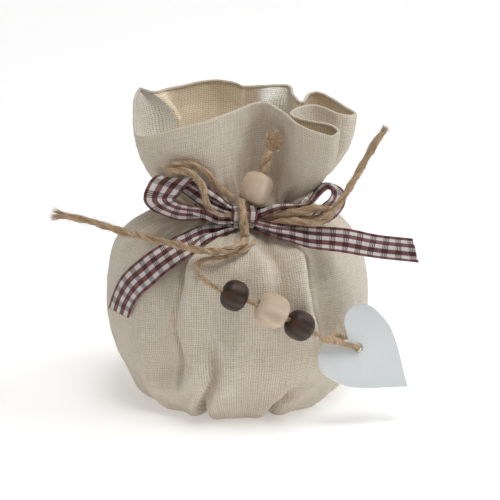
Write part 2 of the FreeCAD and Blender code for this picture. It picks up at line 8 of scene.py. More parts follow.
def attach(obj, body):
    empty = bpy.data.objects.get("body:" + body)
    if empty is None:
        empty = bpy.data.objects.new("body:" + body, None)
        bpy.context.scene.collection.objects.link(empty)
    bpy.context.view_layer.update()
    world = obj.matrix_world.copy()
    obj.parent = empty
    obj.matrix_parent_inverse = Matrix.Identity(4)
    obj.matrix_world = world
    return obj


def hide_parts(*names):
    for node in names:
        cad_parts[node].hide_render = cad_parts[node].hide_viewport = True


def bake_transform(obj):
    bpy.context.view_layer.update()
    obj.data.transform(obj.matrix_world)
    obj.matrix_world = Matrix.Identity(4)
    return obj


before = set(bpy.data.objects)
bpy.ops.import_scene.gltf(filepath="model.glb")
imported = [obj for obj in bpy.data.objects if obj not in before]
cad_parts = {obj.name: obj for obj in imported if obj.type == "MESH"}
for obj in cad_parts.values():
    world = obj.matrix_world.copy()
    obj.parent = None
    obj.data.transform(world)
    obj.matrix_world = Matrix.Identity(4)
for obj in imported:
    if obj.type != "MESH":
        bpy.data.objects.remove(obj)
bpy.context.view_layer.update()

MM = 0.001

# ------------------------------------------------------------------ small tools


def ease(x, start, end):
    """0 before start, 1 after end, smooth between."""
    k = np.clip((np.asarray(x, float) - start) / (end - start), 0.0, 1.0)
    return k * k * (3.0 - 2.0 * k)


def bell(x, centre, width):
    return np.exp(-(((x - centre) / width) ** 2))


def table(x, rows):
    """Straight-line lookup in a list of (x, value)."""
    keys, values = zip(*rows)
    return np.interp(x, keys, values)


def lattice(ix, iy, iz, seed):
    h = (ix * 374761393 + iy * 668265263 + iz * 2147483647 + seed * 1274126177) & 0xFFFFFFFF
    h = ((h ^ (h >> 13)) * 1274126177) & 0xFFFFFFFF
    return ((h ^ (h >> 16)) & 0xFFFF) / 32767.5 - 1.0


def noise(p, size, seed=1, octaves=2):
    """Smooth value noise from -1 to 1 at points p (..., 3), with lumps of a given size."""
    total = np.zeros(p.shape[:-1])
    gain = 1.0
    for level in range(octaves):
        q = p / size * (2.0 ** level) + 100.0
        base = np.floor(q).astype(np.int64)
        f = q - base
        f = f * f * (3.0 - 2.0 * f)
        value = np.zeros(p.shape[:-1])
        for corner in range(8):
            dx, dy, dz = corner & 1, (corner >> 1) & 1, corner >> 2
            w = (f[..., 0] if dx else 1 - f[..., 0])
            w = w * (f[..., 1] if dy else 1 - f[..., 1])
            w = w * (f[..., 2] if dz else 1 - f[..., 2])
            value += w * lattice(base[..., 0] + dx, base[..., 1] + dy, base[..., 2] + dz,
                                 seed + level)
        total += value * gain
        gain *= 0.5
    return total


def walk(line):
    """The distance walked along a line to each of its points."""
    return np.concatenate([[0], np.cumsum(np.linalg.norm(np.diff(line, axis=0), axis=1))])


def spline(points, count, closed=False):
    """count points evenly spaced along a smooth curve through the given ones."""
    p = np.array(points, float)
    if closed:
        p = np.vstack([p[-1:], p, p[:2]])
    else:
        p = np.vstack([2 * p[:1] - p[1:2], p, 2 * p[-1:] - p[-2:-1]])
    dense = []
    for p0, p1, p2, p3 in zip(p, p[1:], p[2:], p[3:]):
        t0 = 0.0
        t1, t2, t3 = np.cumsum([max(np.linalg.norm(after - before), 1e-9) ** 0.5
                                for before, after in ((p0, p1), (p1, p2), (p2, p3))])
        t = np.linspace(t1, t2, 25)[:-1, None]

        def between(one, other, start, end):
            return (end - t) / (end - start) * one + (t - start) / (end - start) * other

        a1, a2, a3 = between(p0, p1, t0, t1), between(p1, p2, t1, t2), between(p2, p3, t2, t3)
        b1, b2 = between(a1, a2, t0, t2), between(a2, a3, t1, t3)
        dense.append(between(b1, b2, t1, t2))
    dense.append(p[-2:-1])
    line = np.vstack(dense)
    walked = walk(line)
    at = np.linspace(0, walked[-1], count + 1)[:-1] if closed else np.linspace(0, walked[-1], count)
    return np.stack([np.interp(at, walked, column) for column in line.T], axis=1)


def link(obj):
    bpy.context.scene.collection.objects.link(obj)
    return obj


def mesh_piece(name, points, faces, uvs=None, material=None):
    """A smooth-shaded mesh; points in millimetres; uvs one per point, in millimetres."""
    mesh = bpy.data.meshes.new(name)
    points = np.asarray(points, float) * MM
    mesh.vertices.add(len(points))
    mesh.vertices.foreach_set("co", points.ravel())
    sizes = np.array([len(f) for f in faces]) if not isinstance(faces, np.ndarray) else \
        np.full(len(faces), faces.shape[1])
    flat = faces.ravel() if isinstance(faces, np.ndarray) else np.concatenate(
        [np.asarray(f) for f in faces])
    mesh.loops.add(len(flat))
    mesh.loops.foreach_set("vertex_index", flat.astype(np.int32))
    mesh.polygons.add(len(sizes))
    starts = np.concatenate([[0], np.cumsum(sizes)[:-1]])
    mesh.polygons.foreach_set("loop_start", starts.astype(np.int32))
    mesh.polygons.foreach_set("use_smooth", np.ones(len(sizes), bool))
    mesh.update(calc_edges=True)
    if uvs is not None:
        layer = mesh.uv_layers.new(name="Cut")
        layer.data.foreach_set("uv", np.asarray(uvs, float)[flat].ravel())
    mesh.validate()
    if material is not None:
        mesh.materials.append(material)
    return link(bpy.data.objects.new(name, mesh))


def grid_faces(rows, columns, closed):
    """Quads of a grid of rows x columns points; closed joins the last column to the first."""
    last = columns if closed else columns - 1
    r, c = np.meshgrid(np.arange(rows - 1), np.arange(last), indexing="ij")
    after = (c + 1) % columns
    quads = np.stack([r * columns + c, r * columns + after, (r + 1) * columns + after,
                      (r + 1) * columns + c], axis=-1)
    return quads.reshape(-1, 4)


def grid_piece(name, points, closed, uvs=None, material=None):
    """A mesh of a grid of points (rows, columns, 3), with one uv for each point."""
    uvs = None if uvs is None else uvs.reshape(-1, 2)
    return mesh_piece(name, points.reshape(-1, 3), grid_faces(*points.shape[:2], closed), uvs,
                      material)


def place(piece, body, slot, *nodes):
    """Attaches a piece to its body and hides the CAD nodes it replaces; a blended piece has no
    body. The slot is not used.
    """
    if body:
        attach(piece, body)
    if nodes:
        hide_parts(*nodes)


# ------------------------------------------------------------------ material tools


class Nodes:
    """A little helper that makes node trees short to write."""

    def __init__(self, name):
        self.material = bpy.data.materials.new(name)
        self.material.use_nodes = True
        self.tree = self.material.node_tree
        self.shader = next(n for n in self.tree.nodes if n.type == "BSDF_PRINCIPLED")

    def add(self, kind, **values):
        node = self.tree.nodes.new("ShaderNode" + kind)
        for key, value in values.items():
            setattr(node, key, value)
        return node

    def put(self, socket, value):
        if isinstance(value, bpy.types.NodeSocket):
            self.tree.links.new(value, socket)
        elif value is not None:
            if isinstance(value, (tuple, list)) and len(value) == 3 and socket.type == "RGBA":
                value = (*value, 1.0)
            socket.default_value = value

    def math(self, operation, a, b=None):
        node = self.add("Math", operation=operation)
        for socket, value in zip(node.inputs, (a, b)):
            self.put(socket, value)
        return node.outputs[0]

    def plus(self, a, b):
        return self.math("ADD", a, b)

    def times(self, a, b):
        return self.math("MULTIPLY", a, b)

    def wave(self, value, period):
        return self.math("SINE", self.times(value, 2 * math.pi / period))

    def mix(self, factor, a, b):
        node = self.add("Mix", data_type="RGBA")
        self.put(node.inputs[0], factor)
        self.put(node.inputs[6], a)
        self.put(node.inputs[7], b)
        return node.outputs[2]

    def noise(self, vector, scale, detail=3.0, rough=0.55):
        node = self.add("TexNoise")
        self.put(node.inputs["Vector"], vector)
        node.inputs["Scale"].default_value = scale
        node.inputs["Detail"].default_value = detail
        node.inputs["Roughness"].default_value = rough
        return node.outputs["Fac"]

    def uv(self):
        node = self.add("UVMap")
        node.uv_map = "Cut"
        return node.outputs[0]

    def split(self, vector):
        node = self.add("SeparateXYZ")
        self.put(node.inputs[0], vector)
        return node.outputs[0], node.outputs[1], node.outputs[2]

    def scaled(self, vector, factors):
        node = self.add("Mapping")
        self.put(node.inputs["Vector"], vector)
        node.inputs["Scale"].default_value = factors
        return node.outputs[0]

    def here(self):
        return self.add("TexCoord").outputs["Object"]

    def span(self, value, low, high, to_low=0.0, to_high=1.0):
        node = self.add("MapRange")
        node.clamp = True
        self.put(node.inputs[0], value)
        for socket, number in zip(node.inputs[1:5], (low, high, to_low, to_high)):
            socket.default_value = number
        return node.outputs[0]

    def bump(self, height, strength, distance, under=None):
        node = self.add("Bump")
        node.inputs["Strength"].default_value = strength
        node.inputs["Distance"].default_value = distance
        self.put(node.inputs["Height"], height)
        if under is not None:
            self.put(node.inputs["Normal"], under)
        return node.outputs[0]

    def finish(self, colour, rough, normal=None, **sockets):
        self.put(self.shader.inputs["Base Color"], colour)
        self.put(self.shader.inputs["Roughness"], rough)
        if normal is not None:
            self.put(self.shader.inputs["Normal"], normal)
        for key, value in sockets.items():
            self.put(self.shader.inputs[key.replace("_", " ")], value)
        return self.material


CLOTH_THREAD = 0.70  # millimetres from one thread to the next


def cloth_material(name, low, high, stain):
    """Cream cotton and linen in plain weave: threads, gaps, slubs and faint stains."""
    n = Nodes(name)
    uv = n.uv()
    x, y, _ = n.split(uv)
    wob = n.noise(n.scaled(uv, (0.30, 0.30, 1.0)), 1.0, 2.0)
    wobble = n.times(n.math("SUBTRACT", wob, 0.5), 0.9)
    ux = n.plus(n.math("DIVIDE", x, CLOTH_THREAD), wobble)
    uy = n.plus(n.math("DIVIDE", y, CLOTH_THREAD), wobble)
    warp = n.math("ABSOLUTE", n.wave(ux, 2.0))
    weft = n.math("ABSOLUTE", n.wave(uy, 2.0))
    over = n.wave(n.plus(ux, uy), 2.0)
    lift = n.plus(n.times(warp, 0.6), n.times(weft, 0.6))
    lift = n.plus(lift, n.times(over, 0.25))
    between = n.span(n.times(warp, weft), 0.02, 0.30, 0.38, 0.0)
    pinhole = n.span(n.math("MAXIMUM", warp, weft), 0.32, 0.76, 1.0, 0.0)
    gap = n.math("MAXIMUM", pinhole, between)
    slub_up = n.noise(n.scaled(uv, (1.9, 0.10, 1.0)), 1.0, 3.0, 0.6)
    slub_across = n.noise(n.scaled(uv, (0.10, 1.9, 1.0)), 1.0, 3.0, 0.6)
    slub = n.times(n.plus(slub_up, slub_across), 0.5)
    fleck = n.noise(n.scaled(uv, (1.3, 1.3, 1.0)), 1.0, 2.0, 0.7)
    broad = n.noise(n.here(), 28.0, 3.0)
    base = n.mix(n.span(slub, 0.36, 0.64), low, high)
    base = n.mix(n.span(broad, 0.35, 0.65, 0.0, 0.25), base, stain)
    base = n.mix(n.times(gap, n.span(fleck, 0.36, 0.60, 0.35, 1.0)), base, (0.20, 0.145, 0.10))
    fine = n.bump(lift, 0.55, 0.00016)
    normal = n.bump(slub, 0.35, 0.0006, fine)
    return n.finish(base, 0.92, normal, Sheen_Weight=0.25, Sheen_Roughness=0.5,
                    Specular_IOR_Level=0.15)


def ribbon_material():
    """Woven gingham: lengthwise dark and white rows crossed by groups of fine dark threads."""
    n = Nodes("gingham_ribbon")
    uv = n.uv()
    across, along, _ = n.split(uv)
    middle = n.math("ABSOLUTE", n.math("SUBTRACT", across, 5.0))
    row_in = n.times(n.span(middle, 0.66, 0.78), n.span(middle, 2.40, 2.52, 1.0, 0.0))
    row_edge = n.span(middle, 3.98, 4.10)
    dark_row = n.math("MAXIMUM", row_in, row_edge)
    repeat = n.math("MODULO", n.plus(along, 500.0), 5.0)
    crossed = n.times(n.span(repeat, 2.5, 2.62), n.span(repeat, 4.86, 4.98, 1.0, 0.0))
    thread = n.wave(repeat, 0.62)
    thread = n.span(thread, -0.85, 0.35, 0.15, 1.0)
    crossing = n.times(crossed, thread)
    wear = n.noise(n.scaled(uv, (2.6, 0.9, 1.0)), 1.0, 3.0, 0.7)
    white = n.mix(n.span(wear, 0.3, 0.7), (0.66, 0.63, 0.61), (0.84, 0.82, 0.80))
    dark = n.mix(n.span(wear, 0.3, 0.7), (0.072, 0.018, 0.018), (0.135, 0.038, 0.036))
    half = n.mix(n.span(wear, 0.25, 0.75), (0.150, 0.046, 0.044), (0.30, 0.135, 0.125))
    row = n.mix(crossed, half, dark)
    ground = n.mix(n.times(crossing, 0.86), white, dark)
    colour = n.mix(dark_row, ground, row)
    rib = n.wave(along, 0.42)
    warp = n.wave(across, 0.34)
    lift = n.plus(rib, n.times(warp, 0.7))
    normal = n.bump(lift, 0.5, 0.00008)
    return n.finish(colour, 0.55, normal, Sheen_Weight=0.3, Sheen_Roughness=0.35,
                    Specular_IOR_Level=0.35)


def jute_material(name, low, high):
    """Hairy jute: fibres run along the strand, some pale, some dark."""
    n = Nodes(name)
    uv = n.uv()
    fibres = n.noise(n.scaled(uv, (5.5, 0.40, 1.0)), 1.0, 4.0, 0.65)
    coarse = n.noise(n.scaled(uv, (1.5, 0.25, 1.0)), 1.0, 2.0)
    mixed = n.plus(n.times(fibres, 0.65), n.times(coarse, 0.35))
    colour = n.mix(n.span(mixed, 0.36, 0.64), low, high)
    normal = n.bump(fibres, 0.9, 0.00035)
    return n.finish(colour, 0.78, normal, Sheen_Weight=0.35, Sheen_Roughness=0.4,
                    Specular_IOR_Level=0.25)


def wood_material(name, light, dark, rough, coat, ring_scale):
    """Turned wood with growth rings seen side-on and end-on, fine pores and a finish."""
    n = Nodes(name)
    here = n.here()
    wave = n.add("TexWave", wave_type="RINGS", rings_direction="X")
    n.put(wave.inputs["Vector"], n.scaled(here, (1.0, 1.0, 0.35)))
    wave.inputs["Scale"].default_value = ring_scale
    wave.inputs["Distortion"].default_value = 5.0
    wave.inputs["Detail"].default_value = 3.0
    wave.inputs["Detail Scale"].default_value = 2.0
    pores = n.noise(n.scaled(here, (1.0, 1.0, 0.18)), 1900.0, 3.0, 0.7)
    tone = n.noise(here, 190.0, 3.0)
    mixed = n.plus(n.times(wave.outputs["Fac"], 0.55), n.times(tone, 0.55))
    colour = n.mix(n.span(mixed, 0.25, 0.85), dark, light)
    colour = n.mix(n.span(pores, 0.52, 0.72, 0.0, 0.45), colour, dark)
    roughness = n.span(tone, 0.3, 0.7, rough - 0.06, rough + 0.08)
    normal = n.bump(pores, 0.25, 0.0002)
    return n.finish(colour, roughness, normal, Coat_Weight=coat, Coat_Roughness=0.18,
                    Specular_IOR_Level=0.45)


def tag_material():
    """Matt cool white paint on thin wood: nearly even, with faint brush lines."""
    n = Nodes("tag_paint")
    here = n.here()
    broad = n.noise(here, 60.0, 3.0)
    brush = n.noise(n.scaled(here, (0.15, 1.0, 1.0)), 900.0, 3.0)
    colour = n.mix(n.span(broad, 0.3, 0.7), (0.755, 0.795, 0.800), (0.80, 0.835, 0.838))
    colour = n.mix(n.span(brush, 0.55, 0.75, 0.0, 0.10), colour, (0.62, 0.66, 0.67))
    normal = n.bump(brush, 0.18, 0.0002)
    return n.finish(colour, 0.55, normal, Specular_IOR_Level=0.35)


def tissue_material():
    """Crumpled white tissue, darker in the hollows of the crumples as painted shade."""
    n = Nodes("tissue_filling")
    here = n.here()
    crumple = n.noise(here, 260.0, 4.0, 0.6)
    # the low, hollow parts of the crumples are painted darker: painted shade
    colour = n.mix(n.span(crumple, 0.3, 0.7), (0.70, 0.68, 0.63), (0.86, 0.85, 0.82))
    return n.finish(colour, 0.85, n.bump(crumple, 0.6, 0.0012), Specular_IOR_Level=0.2)


CLOTH = cloth_material("sack_cloth", (0.66, 0.572, 0.450), (0.86, 0.795, 0.690), (0.76, 0.63, 0.48))
# The inside of the ruffle is the same cloth in a tan copy: painted warm shade and painted glow of
# light through the cloth.
INSIDE_WARM_SHADE_CLOTH = cloth_material("sack_cloth_inside", (0.95, 0.78, 0.56), (1.0, 0.90, 0.72),
                        (0.93, 0.74, 0.50))
# A paler copy of the cloth for the inside faces that catch the light: painted light.
PAINTED_LIT_CLOTH = cloth_material("sack_cloth_painted_lit", (0.92, 0.88, 0.79), (1.0, 0.98, 0.92),
                        (0.95, 0.88, 0.76))
RIBBON = ribbon_material()
TWINE = jute_material("jute_twine", (0.28, 0.168, 0.088), (0.92, 0.68, 0.45))
CORD = jute_material("jute_cord", (0.30, 0.182, 0.098), (0.97, 0.73, 0.48))
TUFT = jute_material("jute_tuft", (0.32, 0.19, 0.10), (1.0, 0.74, 0.48))
DARK_WOOD = wood_material("dark_bead_wood", (0.070, 0.030, 0.016), (0.018, 0.009, 0.006), 0.50,
                          0.04, 95.0)
PALE_WOOD = wood_material("pale_bead_wood", (0.70, 0.56, 0.43), (0.58, 0.44, 0.32), 0.55, 0.05,
                          60.0)
TAG = tag_material()
TISSUE = tissue_material()

# ------------------------------------------------------------------ the sack

# Outline of the body from the middle of the base to the neck, (radius, height).
PROFILE = [(0, 0.25), (12, 0.25), (24, 0.25), (30, 0.9), (34.5, 2.4), (41.0, 7.2), (46.4, 16.0),
           (50.0, 28.0), (51.2, 42.0), (50.7, 52.0), (48.7, 60.5), (45.5, 66.4), (41.0, 70.5),
           (36.0, 73.3), (30.5, 75.2), (26.6, 76.8), (24.5, 78.6), (24.0, 80.5)]

# The rim, anticlockwise from the crest of the front pleat: (x, y, height).
RIM = [(11, -12, 120.2), (18, -18, 117.2), (22.3, -27, 115), (28.9, -31.5, 113.0),
       (35.8, -33, 111.6), (38.6, -28.5, 112.8), (35.8, -24, 114.2), (28.9, -21.5, 115.1),
       (23.0, -18.5, 115.9), (21.4, -13, 116.3), (23.9, -6, 116.8), (28.9, -2, 117.2),
       (33.5, -4, 116.4), (38.5, -7, 114.8), (43.0, -6, 113.9), (46.2, 1, 113.4),
       (43.1, 8, 114.4), (37.7, 18, 116.0), (31.5, 26, 117.0), (27.5, 24, 116.6),
       (25.5, 15, 115.2), (22.6, 19, 117.2), (22.0, 26, 118.4), (20.3, 31, 118.8),
       (15.5, 31, 118.9), (8.9, 31, 118.6), (1.9, 30, 118.8), (-1.2, 29.4, 120.4),
       (-6.9, 30, 121.0), (-13.9, 28.5, 120.7), (-21.2, 24.5, 119.9), (-29.5, 18.5, 119.4),
       (-34.2, 14.0, 119.6), (-38.2, 16.5, 120.4), (-40.0, 8, 118.0), (-39.6, -2, 114.2),
       (-39.4, -14, 111.2), (-37.4, -22.5, 109.4), (-28.1, -26.5, 111.2), (-19.3, -27.5, 113.9),
       (-10.4, -26.5, 116.0), (0.4, -19, 118.6), (6.8, -13, 120.0)]

COLUMNS = 960
GIRTH = 322.4
NECK_X = 2.0
NECK_R = 24.0
NECK_Z = 80.5
RIM_ROLL = 0.62
LINING_GAP = 0.7
RIM_LENGTH = 300.0  # nominal, for distances along the rim
SEAM_AT = 26  # the rim point above the side seam
FIRST_BEARING = -68.0  # degrees; the columns are spread round the neck from here

# How far the cloth has opened from the neck towards the rim, by height.
OPENED = [(80.5, 0.0), (82, 0.07), (84, 0.2), (86, 0.34), (88, 0.45), (90, 0.55), (95, 0.73),
          (100, 0.87), (105, 0.95), (112, 1.0), (121, 1.0)]

# Long folds of the body: (height, azimuth in degrees) down each fold, then cross-fold bumps as
# (height of bump, distance to the right of the fold, half width), and the heights between
# which the fold is at full depth and where it fades out.
FOLDS = [
    # the long fold left of the middle; the cloth on its right overhangs a broad valley
    ([(6, -118), (15, -116), (22, -114), (30, -112), (36, -114), (42, -116), (49, -115),
      (58, -113), (67, -114), (75, -112)],
     [(2.6, 3.2, 4.6), (-3.6, -2.4, 1.9), (-4.0, -8.5, 7.5)], (14, 24, 67, 75)),
    # the crease that splits the base in front
    ([(0, -110), (9, -108), (13, -105), (21, -100), (27, -99), (35, -100), (43, -101),
      (52, -101)],
     [(-3.8, 0.0, 1.5), (1.9, 4.6, 3.4), (1.5, -4.6, 3.2)], (-9, -8, 24, 46)),
    # a low ridge between the crease and the pocket
    ([(4, -92), (20, -90), (44, -88)], [(1.1, 0.0, 3.4), (-0.9, 6.5, 3.4)], (-2, 12, 30, 50)),
    # the valley under the knot
    ([(42, -70), (55, -71), (63, -70), (68, -72), (73, -78), (76, -80)],
     [(-3.8, 0.5, 2.6), (1.7, -6.0, 4.2)], (36, 54, 71, 76)),
    # the fold right of the middle; the cloth on its left overhangs
    ([(24, -50), (40, -53), (48, -56), (57, -57), (65, -56), (71, -56), (76, -58)],
     [(2.9, -3.0, 3.4), (-3.6, 2.1, 1.8), (-4.3, 6.2, 4.6)], (18, 40, 69, 76)),
    # the pocket low on the right
    ([(0, -71), (6, -70), (10, -68), (12, -65), (16, -62)],
     [(-4.2, 0.0, 1.6), (1.3, -5.0, 3.5), (1.2, 5.0, 3.5)], (-9, -8, 10, 19)),
    # the flat hollow low on the left
    ([(0, -163), (20, -163), (40, -160)], [(-2.4, 0.0, 13.0)], (2, 12, 24, 46)),
    # soft folds on the sides and the back
    ([(0, -146), (30, -148), (75, -140)], [(-1.6, 0.0, 3.0), (0.8, 7.0, 5.0)], (-9, -8, 14, 40)),
    ([(0, -28), (40, -24), (75, -30)], [(-1.7, 0.0, 3.4), (0.8, -7.0, 5.0)], (-9, -8, 16, 60)),
    ([(0, 8), (40, 14), (75, 10)], [(-2.0, 0.0, 2.6), (1.1, 6.0, 5.0)], (-9, -8, 40, 74)),
    ([(0, 42), (40, 48), (75, 40)], [(-1.6, 0.0, 3.2), (1.0, -7.0, 5.0)], (-9, -8, 20, 50)),
    ([(0, 80), (40, 76), (75, 84)], [(-2.3, 0.0, 2.4), (1.3, 6.0, 5.0)], (-9, -8, 50, 76)),
    ([(0, 118), (40, 124), (75, 114)], [(-1.8, 0.0, 3.0), (1.0, -6.5, 5.0)], (-9, -8, 24, 64)),
    ([(0, 158), (40, 152), (75, 160)], [(-2.1, 0.0, 2.8), (1.0, 6.5, 5.0)], (-9, -8, 44, 75)),
    ([(0, -176), (40, -172), (75, -178)], [(-1.5, 0.0, 3.0), (0.8, 6.5, 5.0)], (-9, -8, 14, 38)),
]


def fold_relief(azimuth, height, radius):
    """How far the body's cloth stands out (+) or in (-) of its round shape."""
    relief = np.zeros_like(azimuth)
    for path, bumps, (fade_in, full, still, gone) in FOLDS:
        at = np.radians(table(height, path))
        aside = (azimuth - at + math.pi) % (2 * math.pi) - math.pi
        aside = aside * radius
        shown = ease(height, fade_in, full) * (1.0 - ease(height, still, gone))
        for tall, centre, wide in bumps:
            relief += tall * bell(aside, centre, wide) * shown
    return relief


def gathers(angle):
    """Small uneven pleats round the neck."""
    wave = np.sin(31 * angle + 1.9 * np.sin(3 * angle + 0.6) + 1.2 * np.sin(5 * angle))
    return wave + 0.6 * np.sin(47 * angle + 2.2 * np.sin(4 * angle))


def make_sack():
    """The outside of the cloth, from the base to the rolled edge, and the ruffle's inner face."""
    rim = spline(RIM, COLUMNS, closed=True)
    share = np.arange(COLUMNS) / COLUMNS
    bearing = np.unwrap(np.arctan2(rim[:, 1], rim[:, 0] - NECK_X))
    even = math.radians(FIRST_BEARING) + 2 * math.pi * share
    away = bearing - even
    away -= 2 * math.pi * np.round(np.mean(away) / (2 * math.pi))
    kernel = bell(np.arange(-120, 121) / 48.0, 0.0, 1.0)
    kernel /= kernel.sum()
    away = np.convolve(np.concatenate([away[-120:], away, away[:120]]), kernel, "valid")
    turn = even + 0.55 * away

    # body and neck
    outline = spline(PROFILE, 210)
    body = np.zeros((len(outline), COLUMNS, 3))
    radius = outline[:, 0][:, None]
    height = outline[:, 1][:, None]
    step = np.gradient(outline, axis=0)
    step /= np.linalg.norm(step, axis=1)[:, None]
    out_r, out_z = step[:, 1][:, None], -step[:, 0][:, None]
    az = np.broadcast_to(turn[None, :], (len(outline), COLUMNS))
    high = np.broadcast_to(height, az.shape)
    wide = np.broadcast_to(np.maximum(radius, 1.0), az.shape)
    relief = fold_relief(az, high, wide)
    relief *= ease(wide, 14.0, 30.0)
    round_points = np.stack([wide * np.cos(az), wide * np.sin(az), high], axis=-1)
    relief += 0.55 * noise(round_points, 17.0, 3) * ease(wide, 20, 32)
    relief += 0.16 * noise(round_points, 5.5, 9) * ease(wide, 20, 32)
    relief += 0.50 * gathers(az) * ease(high, 66.0, 77.0)
    relief = np.where(high > 78.0, relief * 0.9, relief)
    swell = wide + out_r * relief
    centre = NECK_X * ease(high, 62.0, 78.0)
    body[..., 0] = centre + swell * np.cos(az)
    body[..., 1] = swell * np.sin(az)
    body[..., 2] = high + out_z * relief
    # the underside stays flat, and the creases lift the edge of the base a little
    lift = np.clip(-fold_relief(az, np.full_like(az, 6.0), wide), 0.0, 3.2)
    body[..., 2] += 0.55 * lift * bell(wide, 33.0, 9.0) * (high < 20)
    body[..., 2] = np.maximum(body[..., 2], 0.12)

    # ruffle
    rows = 120
    q = np.linspace(0.0, 1.0, rows + 1)[1:][:, None]
    z = NECK_Z + (rim[:, 2][None, :] - NECK_Z) * q
    opened = table(z, OPENED)
    ring_x = NECK_X + NECK_R * np.cos(turn)[None, :]
    ring_y = NECK_R * np.sin(turn)[None, :]
    x = ring_x * (1 - opened) + rim[:, 0][None, :] * opened
    y = ring_y * (1 - opened) + rim[:, 1][None, :] * opened

    def index_share(index):
        """How far round the rim, from 0 to 1, a point of RIM lies."""
        return share[np.argmin(np.linalg.norm(rim - np.array(RIM[index]), axis=1))]

    for index, (right, back), by_height, half_width in PUSHES:
        aside = ((share - index_share(index) + 0.5) % 1.0 - 0.5) * RIM_LENGTH
        amount = table(z, by_height) * bell(aside, 0.0, half_width)[None, :]
        x = x + right * amount
        y = y + back * amount
    points = np.stack([x, y, z], axis=-1)
    # gathers that fan out of the neck and fade
    along = np.gradient(points, axis=1)
    normal = np.stack([along[..., 1], -along[..., 0], np.zeros_like(x)], axis=-1)
    normal /= np.maximum(np.linalg.norm(normal, axis=-1, keepdims=True), 1e-6)
    depth = table(z, [(80.5, 0.45), (84, 0.9), (88, 0.6), (94, 0.22), (102, 0.06), (112, 0.0)])
    points += normal * (depth * gathers(turn)[None, :])[..., None]
    points += normal * (0.45 * noise(points, 13.0, 21) * ease(z, 84, 92))[..., None]
    points += normal * (0.13 * noise(points, 4.5, 27))[..., None]

    # the side seam: a doubled strip that ends in a step, and a thin line of stitching beside it
    seam = (share - index_share(SEAM_AT)) * RIM_LENGTH
    strip = ease(seam, -1.2, 0.2) * (1.0 - ease(seam, 6.5, 9.5)) * 0.9
    strip += 0.55 * bell(seam, -9.0, 0.8)
    points -= normal * (strip[None, :] * ease(z, 86, 94))[..., None]

    # the narrow rolled edge and the inside of the ruffle, down to the neck
    edge = points[-1]
    inward = -normal[-1]
    roll = []
    for angle in np.radians([25, 50, 75, 100, 125, 150, 175, 205, 235]):
        roll.append(edge + inward * RIM_ROLL * (1 - math.cos(angle))
                    + np.array([0, 0, 1.0]) * RIM_ROLL * math.sin(angle))
    roll = np.array(roll)
    inside = (points - normal * LINING_GAP)[-3:8:-2]
    outer = np.concatenate([body, points, roll])
    rim_length = walked_down(outer)[-1]
    print(f"sack cloth: {rim_length:.1f} mm from the middle of the base to the rim")
    piece = cloth_piece("sack_cloth", outer, 0.0, CLOTH)
    # the inside face takes the tan copy of the cloth, painted warm shade
    facing = cloth_piece("sack_cloth_inside", np.concatenate([roll[-1:], inside]), rim_length,
                         INSIDE_WARM_SHADE_CLOTH)
    facing.data.materials.append(PAINTED_LIT_CLOTH)
    # inside rows that face the light take the paler copy of the cloth, painted light
    painted_lit_rows = np.zeros(COLUMNS, np.int32)
    for first, last in PAINTED_LIT_INSIDE:
        painted_lit_rows[(share > index_share(first)) & (share < index_share(last))] = 1
    facing.data.polygons.foreach_set("material_index", np.tile(painted_lit_rows, len(inside)))
    return piece, facing


def walked_down(grid):
    """The mean distance walked down a grid's columns to each of its rows."""
    steps = np.linalg.norm(np.diff(grid, axis=0), axis=2).mean(axis=1)
    return np.concatenate([[0], np.cumsum(steps)])


def cloth_piece(name, grid, start, material):
    """A grid of cloth; the column at the seam is doubled so that the weave doesn't run back."""
    grid = np.concatenate([grid, grid[:, :1]], axis=1)
    across = np.arange(COLUMNS + 1) * GIRTH / COLUMNS
    uvs = np.stack(np.broadcast_arrays(across[None, :], start + walked_down(grid)[:, None]), -1)
    piece = grid_piece(name, grid, False, uvs, material)
    weld = piece.modifiers.new("seam", "WELD")
    weld.merge_threshold = 0.00001
    return piece


# Deep pleats below the rim: rim point number, direction in plan, (height, how far), half width.
PUSHES = [
    (32, (0.86, -0.42), [(84, 0), (95, 8), (104, 12.5), (110, 13), (114, 10.5), (117.5, 6),
                         (119.6, 1.5), (121, 0)], 6.0),
    (24, (-0.55, -0.83), [(88, 0), (98, 5), (106, 9), (111, 10), (114.5, 7.5), (117.5, 3),
                          (119, 0.5), (121, 0)], 4.2),
    (20, (-0.5, -0.6), [(88, 0), (98, 2), (108, 3), (113, 2), (117, 0)], 4.0),
    (0, (-0.25, 1.0), [(80, 0), (82, 2), (85, 6), (90, 7.5), (96, 6), (104, 4), (112, 2.2),
                       (120, 0)], 8.0),
]

# Where the inside of the ruffle faces the light and is given the paler copy of the cloth: painted
# light.
PAINTED_LIT_INSIDE = [(32, 39), (22, 25)]

sack, sack_inside = make_sack()
place(sack, "sack", "cloth", "sack_body", "sack_ruffle")
place(sack_inside, "sack", "cloth")


def make_filling():
    """Crumpled tissue that fills the body; only its top can be seen, down the neck."""
    rows = spline([(0, 8), (22, 8), (36, 14), (43, 26), (44.5, 42), (42, 54), (36, 62), (27, 67.5),
                   (14, 70.5), (0, 71.5)], 90)
    columns = 180
    az = np.linspace(0, 2 * math.pi, columns, endpoint=False)[None, :]
    r, z = rows[:, 0][:, None], rows[:, 1][:, None]
    p = np.stack(np.broadcast_arrays(r * np.cos(az), r * np.sin(az), z), axis=-1)
    lumps = 1.0 - np.abs(noise(p, 11.0, 41, 3))
    out = p - np.array([0, 0, 40.0])
    out /= np.maximum(np.linalg.norm(out, axis=-1, keepdims=True), 1e-6)
    p = p + out * (3.0 * (lumps - 0.75))[..., None]
    piece = grid_piece("tissue_filling", p, True, None, TISSUE)
    place(piece, "sack", "filling", "filling")


make_filling()

# ------------------------------------------------------------------ ribbon

